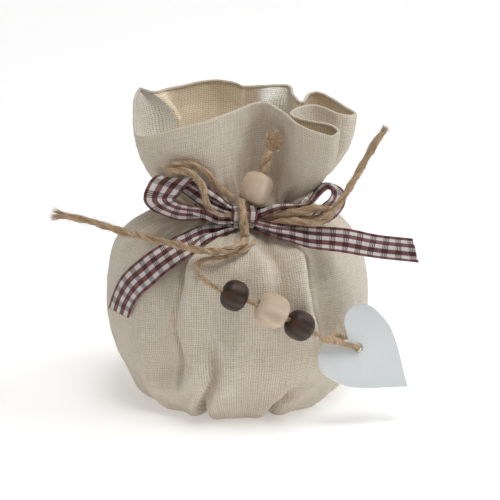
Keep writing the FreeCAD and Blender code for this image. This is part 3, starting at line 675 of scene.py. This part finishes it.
# Crosswise lines along each strip of ribbon: a point on one edge and one on the other.
LOOP_LEFT = [
    (-0.8, -31.2, 77.6, -0.8, -31.8, 80.6), (-7.5, -32.2, 77.8, -7.0, -35.0, 81.9),
    (-11.5, -31.9, 79.0, -11.0, -36.8, 84.9), (-15.5, -31.5, 79.4, -15.0, -38.0, 86.5),
    (-19.5, -31.5, 79.5, -18.5, -38.5, 87.5), (-23.5, -31.5, 80.0, -20.5, -38.5, 88.0),
    (-28.0, -31.5, 81.5, -22.0, -38.0, 88.5), (-32.0, -31.0, 83.5, -22.6, -37.0, 88.6),
    (-34.5, -30.5, 86.5, -22.9, -35.8, 88.7), (-34.6, -30.0, 89.0, -22.7, -34.6, 88.8),
    (-33.5, -29.5, 92.0, -21.2, -33.6, 89.8), (-32.0, -28.8, 94.5, -19.7, -33.0, 91.6),
    (-30.0, -28.4, 96.0, -17.7, -32.2, 93.6), (-28.4, -27.6, 95.8, -16.2, -31.6, 95.3),
    (-25.5, -27.0, 93.7, -15.0, -31.0, 95.9), (-22.5, -27.2, 90.8, -13.5, -30.6, 95.0),
    (-19.0, -28.0, 88.5, -11.5, -30.4, 93.3), (-15.0, -29.0, 86.0, -9.0, -30.2, 91.0),
    (-10.0, -29.2, 83.8, -6.0, -28.8, 88.3), (-5.0, -28.7, 82.0, -3.3, -28.5, 85.5),
    (-0.8, -28.6, 81.4, -0.6, -28.6, 83.6)]
LOOP_RIGHT = [
    (6.5, -28.6, 82.0, 6.8, -30.6, 80.2), (10.0, -26.8, 82.9, 10.5, -31.0, 81.3),
    (14.0, -25.0, 83.8, 14.0, -31.2, 82.8), (17.5, -23.6, 84.0, 17.5, -31.4, 84.1),
    (22.0, -22.2, 83.7, 22.5, -31.4, 84.7), (26.0, -21.6, 84.2, 26.5, -31.2, 85.2),
    (27.8, -21.5, 86.5, 29.0, -31.0, 86.5), (29.5, -21.5, 90.0, 31.5, -30.5, 89.0),
    (31.6, -21.5, 91.8, 34.0, -30.0, 91.4), (34.5, -21.5, 92.2, 35.0, -30.0, 91.7),
    (38.0, -22.0, 91.3, 35.8, -30.0, 90.8), (40.6, -22.5, 89.0, 35.5, -30.0, 89.2),
    (41.3, -23.0, 86.0, 34.6, -30.5, 87.5), (40.6, -23.5, 83.0, 32.8, -31.0, 86.0),
    (38.5, -24.0, 80.0, 30.5, -31.0, 84.0), (36.0, -24.7, 77.9, 28.8, -31.0, 82.0),
    (33.0, -25.4, 76.4, 27.0, -31.0, 80.0), (28.5, -26.0, 75.7, 23.8, -30.8, 78.4),
    (24.0, -26.6, 75.5, 20.5, -30.2, 76.9), (16.0, -27.0, 76.2, 15.0, -29.6, 76.9),
    (7.0, -27.4, 77.6, 6.8, -28.8, 77.8)]
TAIL_LEFT = [
    (-1.2, -30.5, 77.2, -1.2, -31.5, 75.6), (-7.5, -31.0, 77.2, -6.0, -35.5, 74.6),
    (-12.0, -32.0, 77.5, -10.5, -38.5, 73.6), (-15.5, -33.4, 77.0, -13.5, -41.2, 71.6),
    (-19.5, -35.0, 75.7, -16.5, -42.6, 69.2), (-25.0, -36.2, 73.5, -20.5, -43.2, 66.6),
    (-30.5, -36.5, 70.0, -25.3, -42.8, 62.8), (-36.0, -35.2, 65.7, -30.3, -41.2, 57.9),
    (-42.0, -31.8, 59.4, -35.2, -38.8, 53.0), (-46.6, -27.6, 50.9, -39.2, -35.4, 47.0),
    (-48.9, -26.2, 43.9, -40.9, -33.4, 41.9)]
TAIL_RIGHT = [
    (6.2, -32.2, 80.2, 6.4, -32.4, 76.6), (12.8, -34.3, 79.6, 12.8, -35.8, 74.2),
    (20.0, -35.0, 78.8, 19.8, -38.4, 73.0), (27.0, -35.5, 78.4, 27.0, -39.6, 71.0),
    (40.5, -35.5, 77.6, 39.5, -40.1, 69.4), (53.5, -35.5, 75.0, 51.5, -40.1, 67.4),
    (66.0, -35.0, 73.5, 68.0, -39.6, 65.4)]

RIBBON_WIDE = 10.0
RIBBON_THICK = 0.32
ACROSS = 19
ROWS_PER_MM = 2.6
LONG_FOLDS = 1.5


def ribbon_piece(node, points, uvs):
    """A grid of ribbon with its thickness, in place of a CAD node."""
    piece = grid_piece("woven_" + node, points, False, uvs, RIBBON)
    solid = piece.modifiers.new("weave_depth", "SOLIDIFY")
    solid.thickness = RIBBON_THICK * MM
    solid.offset = 0.0
    place(piece, "sack", "ribbon", node)
    return piece


def ribbon_strip(node, lines, seed, start):
    """A strip of ribbon; where it is drawn narrow it folds lengthwise."""
    rough = np.array(lines, float)
    long = walk((rough[:, :3] + rough[:, 3:]) / 2)[-1]
    edges = spline(lines, int(long * ROWS_PER_MM))
    one, other = edges[:, :3], edges[:, 3:]
    middle = (one + other) / 2
    along = np.gradient(middle, axis=0)
    out = np.cross(along, other - one)
    out /= np.linalg.norm(out, axis=1, keepdims=True)
    width = np.linalg.norm(other - one, axis=1)
    spare = np.sqrt(np.maximum(RIBBON_WIDE ** 2 - width ** 2, 0.0))
    share = np.linspace(0, 1, ACROSS)
    p = one[:, None, :] * (1 - share[None, :, None]) + other[:, None, :] * share[None, :, None]
    wave = np.sin(2 * math.pi * LONG_FOLDS * share + 0.5)[None, :] * (spare * 0.15)[:, None]
    wave += 0.28 * noise(p, 7.0, seed) + 0.22 * (1 - (2 * share - 1) ** 2)[None, :]
    p = p + out[:, None, :] * wave[..., None]
    walked = walk(middle)
    uvs = np.stack(np.broadcast_arrays(share[None, :] * RIBBON_WIDE, start + walked[:, None]), -1)
    piece = ribbon_piece(node, p, uvs)
    print(f"{node}: {walked[-1]:.1f} mm along its middle")


ribbon_strip("ribbon_loop_left", LOOP_LEFT, 51, 1.0)
ribbon_strip("ribbon_loop_right", LOOP_RIGHT, 52, 2.2)
ribbon_strip("ribbon_tail_left", TAIL_LEFT, 53, 0.4)
ribbon_strip("ribbon_tail_right", TAIL_RIGHT, 54, 3.0)


def make_ribbon_knot():
    """The knot: the ribbon wrapped once over, pinched at both ends."""
    rows, columns = 72, 34
    a = np.linspace(0, 2 * math.pi, rows, endpoint=False)[:, None]
    s = np.linspace(-1, 1, columns)[None, :]
    pinch = 1.0 - 0.26 * np.abs(s) ** 3
    crease = 0.30 * np.cos(2.5 * math.pi * s + 0.5 * np.sin(a)) + 0.18 * np.sin(7 * s + 2 * a)
    depth = (3.25 + crease) * pinch
    tall = (4.35 + 0.7 * crease) * pinch
    y = -29.8 + depth * np.sign(np.cos(a)) * np.abs(np.cos(a)) ** 0.75
    z = 80.4 + tall * np.sign(np.sin(a)) * np.abs(np.sin(a)) ** 0.8
    x = 3.0 + 4.7 * s + 0.25 * np.sin(3 * a)
    p = np.stack(np.broadcast_arrays(x, y, z), axis=-1)
    uvs = np.stack(np.broadcast_arrays((s + 1) * 5.0, a * 3.9), axis=-1)
    p = np.concatenate([p, p[:1]])
    uvs = np.concatenate([uvs, uvs[:1] + np.array([0, 2 * math.pi * 3.9])])
    piece = ribbon_piece("ribbon_knot", p, uvs)


def make_ribbon_band():
    """The ribbon drawn tight round the neck, crushed into lengthwise folds."""
    columns, rows = 420, 25
    az = np.linspace(0, 2 * math.pi, columns)[None, :]
    s = np.linspace(0, 1, rows)[:, None]
    sway = 0.5 * np.sin(5 * az) + 0.35 * np.sin(9 * az + 1.0)
    r = 25.15 + 0.62 * np.sin(6 * math.pi * s + sway) + 0.15 * np.sin(23 * az)
    z = 77.9 + 4.6 * s + 0.3 * np.sin(4 * az + 0.7) * (s - 0.5)
    p = np.stack(np.broadcast_arrays(NECK_X + r * np.cos(az), r * np.sin(az), z), axis=-1)
    uvs = np.stack(np.broadcast_arrays(s * 10.0, az * 25.0), axis=-1)
    piece = ribbon_piece("ribbon_neck_band", p, uvs)


make_ribbon_knot()
make_ribbon_band()

# ------------------------------------------------------------------ twine and cord

TWINE_DIA = 3.0
CORD_DIA = 1.9
FIBRES = 20
HAIR_POINTS = 6
HAIR_REACH = 1.35  # how far a hair may stand out from the twist
FRAY_DIA = 2.6
FRAY_CURL = 0.35
WRAP_RADIUS = 26.65
WRAP_HEIGHT = 80.4

TWINE_KNOT = [(1.6, -31.2, 86.9), (2.2, -34.8, 85.8), (2.6, -35.9, 81.0), (2.9, -36.2, 77.6),
              (3.2, -38.4, 75.2)]
TWINE_LOOP_LEFT = [(-1.7, -30.5, 80.4), (-5.2, -31.2, 80.8), (-8.6, -32.4, 82.4),
                   (-10.9, -34.6, 85.6), (-11.7, -36.0, 89.8), (-12.5, -35.6, 94.2),
                   (-15.6, -34.2, 97.8), (-19.8, -33.2, 99.2), (-23.0, -32.1, 98.6),
                   (-25.2, -31.2, 98.1), (-25.8, -29.6, 98.7), (-23.8, -28.8, 100.0),
                   (-19.0, -29.0, 101.0),
                   (-13.6, -29.1, 99.4), (-9.8, -28.9, 95.8), (-6.8, -28.0, 91.8),
                   (-3.6, -27.4, 88.6), (-0.4, -28.2, 86.9)]
TWINE_LOOP_RIGHT = [(7.7, -28.9, 79.0), (12.0, -28.5, 79.8), (16.0, -29.8, 81.2),
                    (20.0, -33.3, 83.0), (24.5, -34.8, 84.0), (29.0, -34.9, 84.9),
                    (32.6, -34.9, 85.2), (34.9, -34.8, 84.3), (35.5, -34.6, 82.5),
                    (34.1, -34.4, 81.0), (30.6, -34.4, 80.8), (25.5, -34.2, 80.9),
                    (21.0, -31.6, 80.0), (17.0, -29.2, 78.1)]
TWINE_TAIL_RIGHT = [(7.9, -31.4, 77.0), (12.0, -31.8, 77.6), (16.0, -32.5, 79.2),
                    (20.0, -35.2, 80.7), (24.6, -37.6, 80.3), (29.0, -38.4, 80.2),
                    (33.0, -38.2, 82.0), (36.6, -37.6, 85.2), (39.8, -36.4, 89.4),
                    (42.8, -34.8, 94.2), (46.2, -32.8, 99.7), (49.4, -31.4, 105.3),
                    (52.0, -30.8, 109.8), (54.5, -30.6, 113.2)]
TWINE_TAIL_LEFT = [(3.4, -39.9, 74.2), (1.4, -43.4, 73.0), (-3.0, -46.4, 71.8),
                   (-8.0, -47.6, 71.6), (-14.5, -47.4, 72.3), (-21.0, -45.8, 73.6),
                   (-27.5, -43.4, 74.6), (-34.0, -41.0, 75.5), (-41.5, -38.8, 76.8),
                   (-49.0, -37.0, 78.8), (-56.8, -36.0, 81.2), (-64.5, -35.2, 82.3)]
CORD_UNDER = [(7.0, -38.4, 73.6), (5.4, -41.6, 72.0), (1.2, -44.4, 70.2), (-4.0, -46.0, 69.2),
              (-9.0, -46.6, 68.8), (-12.8, -46.8, 68.2)]
CORD_RUN = [(-14.6, -47.6, 66.9), (-14.3, -50.0, 65.1), (-12.2, -53.4, 62.8),
            (-7.6, -56.4, 60.5), (-0.6, -56.6, 57.5), (13.2, -56.0, 51.6), (23.4, -53.0, 44.9),
            (28.6, -50.4, 41.4), (31.4, -48.2, 39.4)]
CORD_STEM = [(5.3, -28.2, 86.6), (7.4, -25.8, 90.6), (9.5, -23.8, 95.6), (11.0, -22.2, 99.6),
             (12.6, -21.2, 104.0)]


def smooth_line(route, gap=0.3):
    """Points every gap millimetres along a NURBS line with the route as its control points."""
    data = bpy.data.curves.new("line", "CURVE")
    data.dimensions = "3D"
    line = data.splines.new("NURBS")
    line.points.add(len(route) - 1)
    for point, at in zip(line.points, route):
        point.co = (*at, 1.0)
    line.order_u = 3
    line.use_endpoint_u = True
    line.resolution_u = 24
    obj = link(bpy.data.objects.new("line", data))
    bpy.context.view_layer.update()
    mesh = bpy.data.meshes.new_from_object(obj)
    p = np.array([v.co[:] for v in mesh.vertices])
    bpy.data.objects.remove(obj)
    bpy.data.curves.remove(data)
    bpy.data.meshes.remove(mesh)
    walked = walk(p)
    at = np.linspace(0, walked[-1], max(int(walked[-1] / gap), 8))
    return np.stack([np.interp(at, walked, p[:, k]) for k in range(3)], axis=1)


def frames(line):
    """Two crosswise directions at every point of a line, without sudden turns."""
    along = np.gradient(line, axis=0)
    along /= np.linalg.norm(along, axis=1, keepdims=True)
    side = np.cross(along[0], (0.3, -0.9, 0.4))
    sides = []
    for direction in along:
        side = side - direction * np.dot(side, direction)
        side = side / np.linalg.norm(side)
        sides.append(side)
    sides = np.array(sides)
    return along, sides, np.cross(along, sides)


class Strands:
    """Collects tubes and hairs of one twisted cord as points, faces and lengths along."""

    def __init__(self):
        self.points, self.faces, self.uvs, self.count = [], [], [], 0

    def tube(self, line, radius, sides, lay=0.0, rough=0.0, seed=1, ends=True):
        """A tube round a line; radius is one number or one for each point."""
        _, u, v = frames(line)
        psi = np.linspace(0, 2 * math.pi, sides + 1)[None, :]
        walked = walk(line)
        radius = np.broadcast_to(np.asarray(radius, float), len(line))[:, None]
        mean = float(radius.mean())
        turn = psi + 0 * walked[:, None]
        around = np.stack([np.cos(turn) * mean, np.sin(turn) * mean, walked[:, None] * 0.22
                           + 0 * turn], axis=-1)
        if rough:
            spun = psi + lay * walked[:, None]
            ridges = np.stack([np.cos(spun) * mean * 1.6, np.sin(spun) * mean * 1.6,
                               walked[:, None] * 0.25 + 0 * spun], axis=-1)
            radius = radius * (1.0 + rough * noise(ridges, 0.42, seed) + 0.6 * rough
                               * noise(around, 0.8, seed + 5))
        radius = np.broadcast_to(radius, turn.shape).copy()
        radius[:, -1] = radius[:, 0]
        p = line[:, None, :] + radius[..., None] * (np.cos(turn)[..., None] * u[:, None, :]
                                                    + np.sin(turn)[..., None] * v[:, None, :])
        uv = np.stack(np.broadcast_arrays(psi * mean + lay * walked[:, None] * mean,
                                          walked[:, None]), axis=-1)
        faces = grid_faces(len(line), sides + 1, False) + self.count
        self.points.append(p.reshape(-1, 3))
        self.uvs.append(uv.reshape(-1, 2))
        self.faces += [tuple(f) for f in faces]
        if ends:
            for row in (0, len(line) - 1):
                ring = [self.count + row * (sides + 1) + k for k in range(sides)]
                self.faces.append(tuple(ring[::-1] if row == 0 else ring))
        self.count += p.shape[0] * p.shape[1]

    def hair(self, start, direction, length, bend, thick, rng):
        t = np.linspace(0, 1, HAIR_POINTS)[:, None]
        curl = rng.normal(0, 1, 3)
        line = start + direction * length * t + bend * length * t ** 2
        line = line + curl * 0.10 * length * np.sin(math.pi * t)
        self.tube(line, thick * (1.0 - 0.75 * t[:, 0]), sides=3, ends=False)

    def piece(self, name, material):
        return mesh_piece(name, np.concatenate(self.points), self.faces,
                          np.concatenate(self.uvs), material)


def twisted(line, diameter, pitch, seed, hairs_per_mm, apart=0.19):
    """Two loose plies laid round each other along a line, each a bundle of fibres, with hairs."""
    rng = np.random.default_rng(seed)
    along, u, v = frames(line)
    walked = walk(line)
    wander = 0.45 * np.sin(walked / 5.1 + seed) + 0.30 * np.sin(walked / 2.3 + 2 * seed)
    phase = 2 * math.pi * walked / pitch + wander
    strands = Strands()

    def around(turn, wide, narrow):
        """Offsets on an oval that turns with the twist, as the outline of two plies does."""
        x, y = wide * np.cos(turn), narrow * np.sin(turn)
        cos, sin = np.cos(phase), np.sin(phase)
        return (x * cos - y * sin)[:, None] * u + (x * sin + y * cos)[:, None] * v

    for ply in range(2):
        breath = 1 + 0.10 * np.sin(walked / 1.9 + 3 * ply + seed)
        centre = line + around(np.full(len(line), math.pi * ply), apart * diameter, 0.0)
        strands.tube(centre, 0.235 * diameter * breath, 10, 2.0 / diameter, 0.10, seed + 11 * ply)
    for fibre in range(FIBRES):
        start = 2 * math.pi * (fibre + rng.uniform(-0.35, 0.35)) / FIBRES
        drift = start + 0.35 * np.sin(walked / rng.uniform(2.5, 7.0) + 2 * start)
        lift = 1 + 0.09 * np.sin(walked / rng.uniform(1.4, 4.0) + 3 * start)
        path = line + around(drift, 0.43 * diameter * lift, 0.31 * diameter * lift)
        strands.tube(path[::2], diameter * rng.uniform(0.035, 0.075), 5, 2.0 / diameter)
    for _ in range(int(walked[-1] * hairs_per_mm)):
        k = rng.integers(2, len(line) - 2)
        angle = rng.uniform(0, 2 * math.pi)
        out = math.cos(angle) * u[k] + math.sin(angle) * v[k]
        start = line[k] + out * 0.36 * diameter
        length = rng.uniform(0.8, 4.2) * (diameter / 3.0) ** 0.3
        direction = rng.choice([-1.0, 1.0]) * along[k] * 0.9 + out * rng.uniform(0.05, 0.42)
        length = min(length, HAIR_REACH / max(np.dot(direction, out), 0.05))
        strands.hair(start, direction, length, out * rng.uniform(-0.25, 0.25),
                     rng.uniform(0.055, 0.095), rng)
    return strands


def frayed(name, route, count, length, flare, seed):
    """The frayed end of the twine on a route: fibres that spread out of its last point."""
    line = smooth_line(route)
    rng = np.random.default_rng(seed)
    d = line[-1] - line[-6]
    d /= np.linalg.norm(d)
    side = np.cross(d, (0.2, 0.9, 0.3))
    side /= np.linalg.norm(side)
    up = np.cross(d, side)
    strands = Strands()
    for _ in range(count):
        angle = rng.uniform(0, 2 * math.pi)
        out = math.cos(angle) * side + math.sin(angle) * up
        spread = math.sqrt(rng.uniform(0, 1))
        start = line[-1] + out * spread * FRAY_DIA * 0.45 - d * rng.uniform(0, 0.8)
        long = length * rng.uniform(0.55, 1.0)
        t = np.linspace(0, 1, 9)[:, None]
        bent = flare * spread * (t ** 1.4) + 0.15 * spread * t
        twist = rng.normal(0, 1, 3) * FRAY_CURL * long * 0.22
        fibre = start + d * long * t + out * bent + twist * (t ** 2) * np.sin(2.2 * t)
        strands.tube(fibre, rng.uniform(0.055, 0.10) * (1 - 0.5 * t[:, 0]), sides=4, ends=False)
    piece = strands.piece(name, TWINE)
    place(piece, "sack", "twine")
    return piece


def lay_cord(name, nodes, route, diameter, pitch, seed, material=TWINE, body="sack", slot="twine",
             hairs=5.5, **declared):
    line = smooth_line(route)
    piece = twisted(line, diameter, pitch, seed, hairs).piece(name, material)
    place(piece, body, slot, *nodes)
    print(f"{name}: {walk(line)[-1]:.1f} mm long")
    return piece


left_tip = frayed("jute_left_fray", TWINE_TAIL_LEFT, 90, 5.5, 1.6, 61)
right_tip = frayed("jute_right_fray", TWINE_TAIL_RIGHT, 60, 3.2, 0.6, 62)
for part, route, pitch, seed, length, far_end, tips in [
        ("tail_left", TWINE_TAIL_LEFT, 15.0, 3, 0.074, "bare", [left_tip]),
        ("tail_right", TWINE_TAIL_RIGHT, 17.0, 4, 0.066, "bare", [right_tip]),
        ("loop_left", TWINE_LOOP_LEFT, 15.0, 5, 0.067, "object", []),
        ("loop_right", TWINE_LOOP_RIGHT, 14.0, 6, 0.051, "object", [])]:
    lay_cord("jute_" + part, ["twine_" + part], route, TWINE_DIA, pitch, seed, length=length,
             far_end=far_end, lay="loose", with_pieces=tips)
lay_cord("jute_knot", ["twine_knot"], TWINE_KNOT, 3.6, 22.0, 7, hairs=12.0)


def make_neck_wrap():
    az = np.radians(np.linspace(-73, 258, 700))
    line = np.stack([NECK_X + WRAP_RADIUS * np.cos(az), WRAP_RADIUS * np.sin(az),
                     WRAP_HEIGHT + 0.25 * np.sin(3 * az)], axis=1)
    piece = twisted(line, TWINE_DIA, 14.0, 8, 3.0).piece("jute_neck_wrap", TWINE)
    place(piece, "sack", "twine", "twine_neck_wrap")


make_neck_wrap()


def make_stem():
    """The cord above the top bead: its plies come apart and end in a curly, frizzy ball."""
    line = smooth_line(CORD_STEM)
    stem = twisted(line, 4.2, 30.0, 9, 8.0, 0.22).piece("jute_stem", CORD)
    place(stem, "sack", "cord", "cord_stem")
    rng = np.random.default_rng(63)
    up = (line[-1] - line[-6]) / np.linalg.norm(line[-1] - line[-6])
    centre = line[-1] + 3.6 * up
    strands = Strands()
    for _ in range(60):
        points = [line[-1] - 1.5 * up + rng.normal(0, 0.7, 3)]
        for far in (0.5, 0.9, 1.0, 1.0):
            away = rng.normal(size=3)
            away *= rng.uniform(0.6, 1.12) / np.linalg.norm(away)
            points.append(centre + far * away * (3.6, 2.4, 4.6))
        strands.tube(spline(points, 26), rng.uniform(0.08, 0.17), 6, 2.0)
    tuft = strands.piece("jute_tuft", TUFT)
    place(tuft, "sack", "cord", "cord_tuft")


make_stem()

# ------------------------------------------------------------------ heart tag

HOLE_AT = Vector((45.6, -41.5, 32.6))
FRONT = Vector((0.25, -0.91, 0.33)).normalized()
TOWARDS_NOTCH = Vector((-0.775, 0.0, 0.632))
UP_LOCAL = (TOWARDS_NOTCH - FRONT * TOWARDS_NOTCH.dot(FRONT)).normalized()
SIDEWAYS = UP_LOCAL.cross(FRONT)


def on_heart(x, y, z):
    return tuple(HOLE_AT + SIDEWAYS * x + UP_LOCAL * y + FRONT * z)


LOBE_RADIUS, LOBE_ACROSS, LOBE_UP = 7.5, 8.4, 4.0
TIP_DOWN = 24.1
TAG_THICK = 2.2
TAG_EDGE = 0.55
HOLE_RADIUS = 1.6


def make_heart():
    """A flat plate with two round lobes, softly rounded edges and one drilled hole."""
    right = [(0.0, 5.2), (0.7, 6.1), (1.75, 7.6)]
    for angle in range(140, -16, -12):
        right.append((LOBE_ACROSS + LOBE_RADIUS * math.cos(math.radians(angle)),
                      LOBE_UP + LOBE_RADIUS * math.sin(math.radians(angle))))
    right += [(14.6, -4.0), (12.2, -8.6), (8.8, -13.4), (5.0, -18.0), (1.6, -22.2), (0.5, -23.7)]
    half = spline(right, 150)
    outline = np.concatenate([half, [(0.0, -TIP_DOWN)], half[::-1][:-1] * np.array([-1.0, 1.0])])
    data = bpy.data.curves.new("heart_tag", "CURVE")
    data.dimensions = "2D"
    data.fill_mode = "BOTH"
    data.extrude = (TAG_THICK / 2 - TAG_EDGE) * MM
    data.bevel_depth = TAG_EDGE * MM
    data.bevel_resolution = 4
    data.offset = -TAG_EDGE * MM
    hole = [(HOLE_RADIUS * math.cos(a), HOLE_RADIUS * math.sin(a))
            for a in np.linspace(0, 2 * math.pi, 49)[:-1]]
    for ring in (outline, hole):
        line = data.splines.new("POLY")
        line.points.add(len(ring) - 1)
        for point, (x, y) in zip(line.points, ring):
            point.co = (x * MM, y * MM, 0.0, 1.0)
        line.use_cyclic_u = True
    temp = link(bpy.data.objects.new("heart_line", data))
    bpy.context.view_layer.update()
    mesh = bpy.data.meshes.new_from_object(temp)
    bpy.data.objects.remove(temp)
    mesh.name = "heart_tag"
    mesh.materials.clear()
    mesh.materials.append(TAG)
    for polygon in mesh.polygons:
        polygon.use_smooth = True
    piece = link(bpy.data.objects.new("painted_heart", mesh))
    turn = Matrix((SIDEWAYS, UP_LOCAL, FRONT)).transposed().to_4x4()
    piece.matrix_world = Matrix.Translation(HOLE_AT * MM) @ turn
    bpy.context.view_layer.update()
    place(piece, "heart", "tag", "heart_tag")


make_heart()

HEART_LOOP = [(-3.4, 7.6, 2.6), (-2.0, 4.4, 2.35), (-0.5, 1.2, 2.3), (0.0, -0.2, 1.2),
              (0.0, -0.2, -1.2), (0.2, 1.2, -2.3), (0.1, 5.6, -2.5), (-0.6, 9.4, -2.0),
              (-2.4, 10.4, 0.4), (-4.2, 9.8, 2.6), (-5.2, 11.0, 3.4)]
KNOT_NEAR = (-2.6, 6.8, 3.2)
KNOT_FAR = (-6.6, 14.0, 4.0)


def make_heart_loop():
    line = smooth_line([on_heart(*p) for p in HEART_LOOP], 0.2)
    loop = twisted(line, 2.3, 9.0, 71, 3.0).piece("jute_heart_loop", CORD)
    near, far = np.array(on_heart(*KNOT_NEAR)), np.array(on_heart(*KNOT_FAR))
    s = np.linspace(0, 1, 160)
    axis = near + (far - near) * s[:, None]
    _, u, v = frames(axis)
    strands = Strands()
    rng = np.random.default_rng(72)
    for ply in range(3):
        turn = 2 * math.pi * (1.9 * s + ply / 3) + 0.5 * np.sin(5 * s + ply)
        swell = 0.28 + 0.62 * np.sin(math.pi * np.clip(s, 0.02, 0.98)) ** 0.7
        line = axis + swell[:, None] * (np.cos(turn)[:, None] * u + np.sin(turn)[:, None] * v)
        strands.tube(line, 0.76 - 0.20 * np.abs(2 * s - 1) ** 3, 14, 1.3, 0.16, 73 + ply)
    for _ in range(26):
        k = rng.integers(8, 150)
        angle = rng.uniform(0, 2 * math.pi)
        out = math.cos(angle) * u[k] + math.sin(angle) * v[k]
        strands.hair(axis[k] + out * 1.2, out * 0.5 + rng.normal(0, 0.5, 3),
                     rng.uniform(0.8, 2.0), out * 0.2, 0.045, rng)
    # one stray end that stands up beside the knot
    stray = spline([on_heart(-1.8, 6.9, 3.4), on_heart(-0.2, 8.2, 4.4),
                    on_heart(1.6, 10.7, 4.6), on_heart(4.2, 14.4, 4.2)], 30)
    strands.tube(stray, np.linspace(0.42, 0.16, 30), 8, 1.3, 0.2, 77)
    knot = strands.piece("jute_heart_knot", CORD)
    place(loop, "heart_cord", "cord", "heart_loop")
    place(knot, "heart_cord", "cord", "heart_knot")
    return loop, knot


loop, knot = make_heart_loop()
bead_cord = lay_cord("jute_bead_cord", ["cord_under_knot", "cord_run"], CORD_UNDER + CORD_RUN,
                     CORD_DIA, 9.5, 10, CORD, body=None, slot="cord", length=0.084,
                     far_end="knot", lay="hanging", with_pieces=[knot, loop])
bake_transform(bead_cord)

# ------------------------------------------------------------------ beads


def make_bead(node, body, at, direction, dia, long, square, bore, material, seed, slot):
    """A turned bead: a soft barrel with eased ends and a drilled hole."""
    half, radius = long / 2, dia / 2
    outside = []
    for k in np.linspace(0.0, 1.0, 40):
        angle = math.pi * (k - 0.5)
        x = math.sin(angle)
        r = math.cos(angle)
        outside.append((half * math.copysign(abs(x) ** (2 / square), x),
                        radius * abs(r) ** (2 / square)))
    lip = bore / 2
    profile = [p for p in outside if p[1] > lip + 0.35]
    first, last = profile[0], profile[-1]
    profile = ([(first[0] + 1.0, lip), (first[0] + 0.35, lip), (first[0] + 0.08, lip + 0.12)]
               + profile + [(last[0] - 0.08, lip + 0.12), (last[0] - 0.35, lip),
                            (last[0] - 1.0, lip)])
    profile = spline(profile, 90)
    inner = np.stack([np.linspace(last[0] - 1.2, first[0] + 1.2, 8), np.full(8, lip)], axis=1)
    profile = np.concatenate([profile, inner])
    columns = 72
    az = np.linspace(0, 2 * math.pi, columns, endpoint=False)[None, :]
    x, r = profile[:, 0][:, None], profile[:, 1][:, None]
    p = np.stack(np.broadcast_arrays(r * np.cos(az), r * np.sin(az), x), axis=-1)
    worn = 1.0 + (0.012 * noise(p, 4.0, seed) + 0.004 * noise(p, 1.2, seed + 3))[..., None]
    p = p * worn
    piece = grid_piece("turned_" + node, p, True, None, material)
    aim = Vector(direction).normalized().to_track_quat("Z", "Y").to_matrix().to_4x4()
    piece.matrix_world = Matrix.Translation(Vector(at) * MM) @ aim
    bpy.context.view_layer.update()
    place(piece, body, slot, node)


make_bead("bead_top", "top_bead", CORD_STEM[1], (0.385, 0.41, 0.82), 11.8, 11.6, 3.0, 2.6,
          PALE_WOOD, 81, "pale_wood")
make_bead("bead_dark_upper", "upper_dark_bead", CORD_RUN[4], (13.8, 0.6, -5.9), 11.4, 9.9, 2.5,
          2.5, DARK_WOOD, 82, "dark_wood")
make_bead("bead_pale", "pale_bead", CORD_RUN[5], (24.0, 3.6, -12.6), 12.6, 12.0, 2.8, 2.6,
          PALE_WOOD, 83, "pale_wood")
make_bead("bead_dark_lower", "lower_dark_bead", CORD_RUN[6], (16.4, 6.0, -10.8), 11.2, 10.6, 2.5,
          3.0, DARK_WOOD, 84, "dark_wood")

# ------------------------------------------------------------------ studio


def studio():
    floor = []
    for k, (y, z) in enumerate([(-3000, 0), (900, 0), (1300, 30), (1600, 160), (1800, 420),
                                (1900, 900), (1920, 2600)]):
        floor += [(-3200, y, z), (3200, y, z)]
    faces = np.array([[2 * k, 2 * k + 1, 2 * k + 3, 2 * k + 2] for k in range(6)])
    n = Nodes("pale_floor")
    _, far, _ = n.split(n.here())
    n.finish((0.98, 0.98, 0.98), 0.9, Specular_IOR_Level=0.0, Emission_Color=(1, 1, 1, 1),
             Emission_Strength=n.span(far, 0.10, 1.3, 0.29, 0.47))
    backdrop = mesh_piece("pale_backdrop", floor, faces, None, n.material)
    smooth = backdrop.modifiers.new("smooth", "SUBSURF")
    smooth.levels = smooth.render_levels = 3

    world = bpy.data.worlds.new("studio") if bpy.context.scene.world is None else \
        bpy.context.scene.world
    bpy.context.scene.world = world
    world.use_nodes = True
    back = next(n for n in world.node_tree.nodes if n.type == "BACKGROUND")
    back.inputs["Color"].default_value = (1.0, 0.975, 0.95, 1.0)
    back.inputs["Strength"].default_value = 0.15

    def area(name, at, to, wide, watts, colour):
        data = bpy.data.lights.new(name, "AREA")
        data.shape = "DISK"
        data.size = wide
        data.energy = watts
        data.color = colour
        lamp = link(bpy.data.objects.new(name, data))
        lamp.location = at
        lamp.rotation_euler = (Vector(to) - Vector(at)).to_track_quat("-Z", "Y").to_euler()

    area("key_right", (0.80, 0.02, 0.80), (0, 0, 0.06), 0.85, 3.9, (0.88, 0.95, 1.0))
    area("overhead", (0.12, -0.30, 1.25), (0, 0, 0.05), 0.7, 7.6, (1.0, 0.99, 0.97))
    area("fill_front", (0.10, -1.2, 0.75), (0, 0, 0.06), 0.9, 0.25, (1.0, 0.93, 0.86))


studio()

CAMERA_AWAY = 0.900
SENSOR_WIDE = 36.0
FOCAL_LENGTH = 166.15
TARGET = Vector((0.0051, 0.0, 0.0596))
TILT = math.radians(15.0)
lens = bpy.data.cameras.new("photo_view")
lens.sensor_width = SENSOR_WIDE
lens.lens = FOCAL_LENGTH
lens.clip_start = 0.05
lens.clip_end = 20.0
camera = link(bpy.data.objects.new("photo_view", lens))
camera.location = TARGET + CAMERA_AWAY * Vector((0.0, -math.cos(TILT), math.sin(TILT)))
camera.rotation_euler = (TARGET - camera.location).to_track_quat("-Z", "Y").to_euler()
bpy.context.scene.camera = camera
bpy.context.scene.view_settings.view_transform = "Standard"
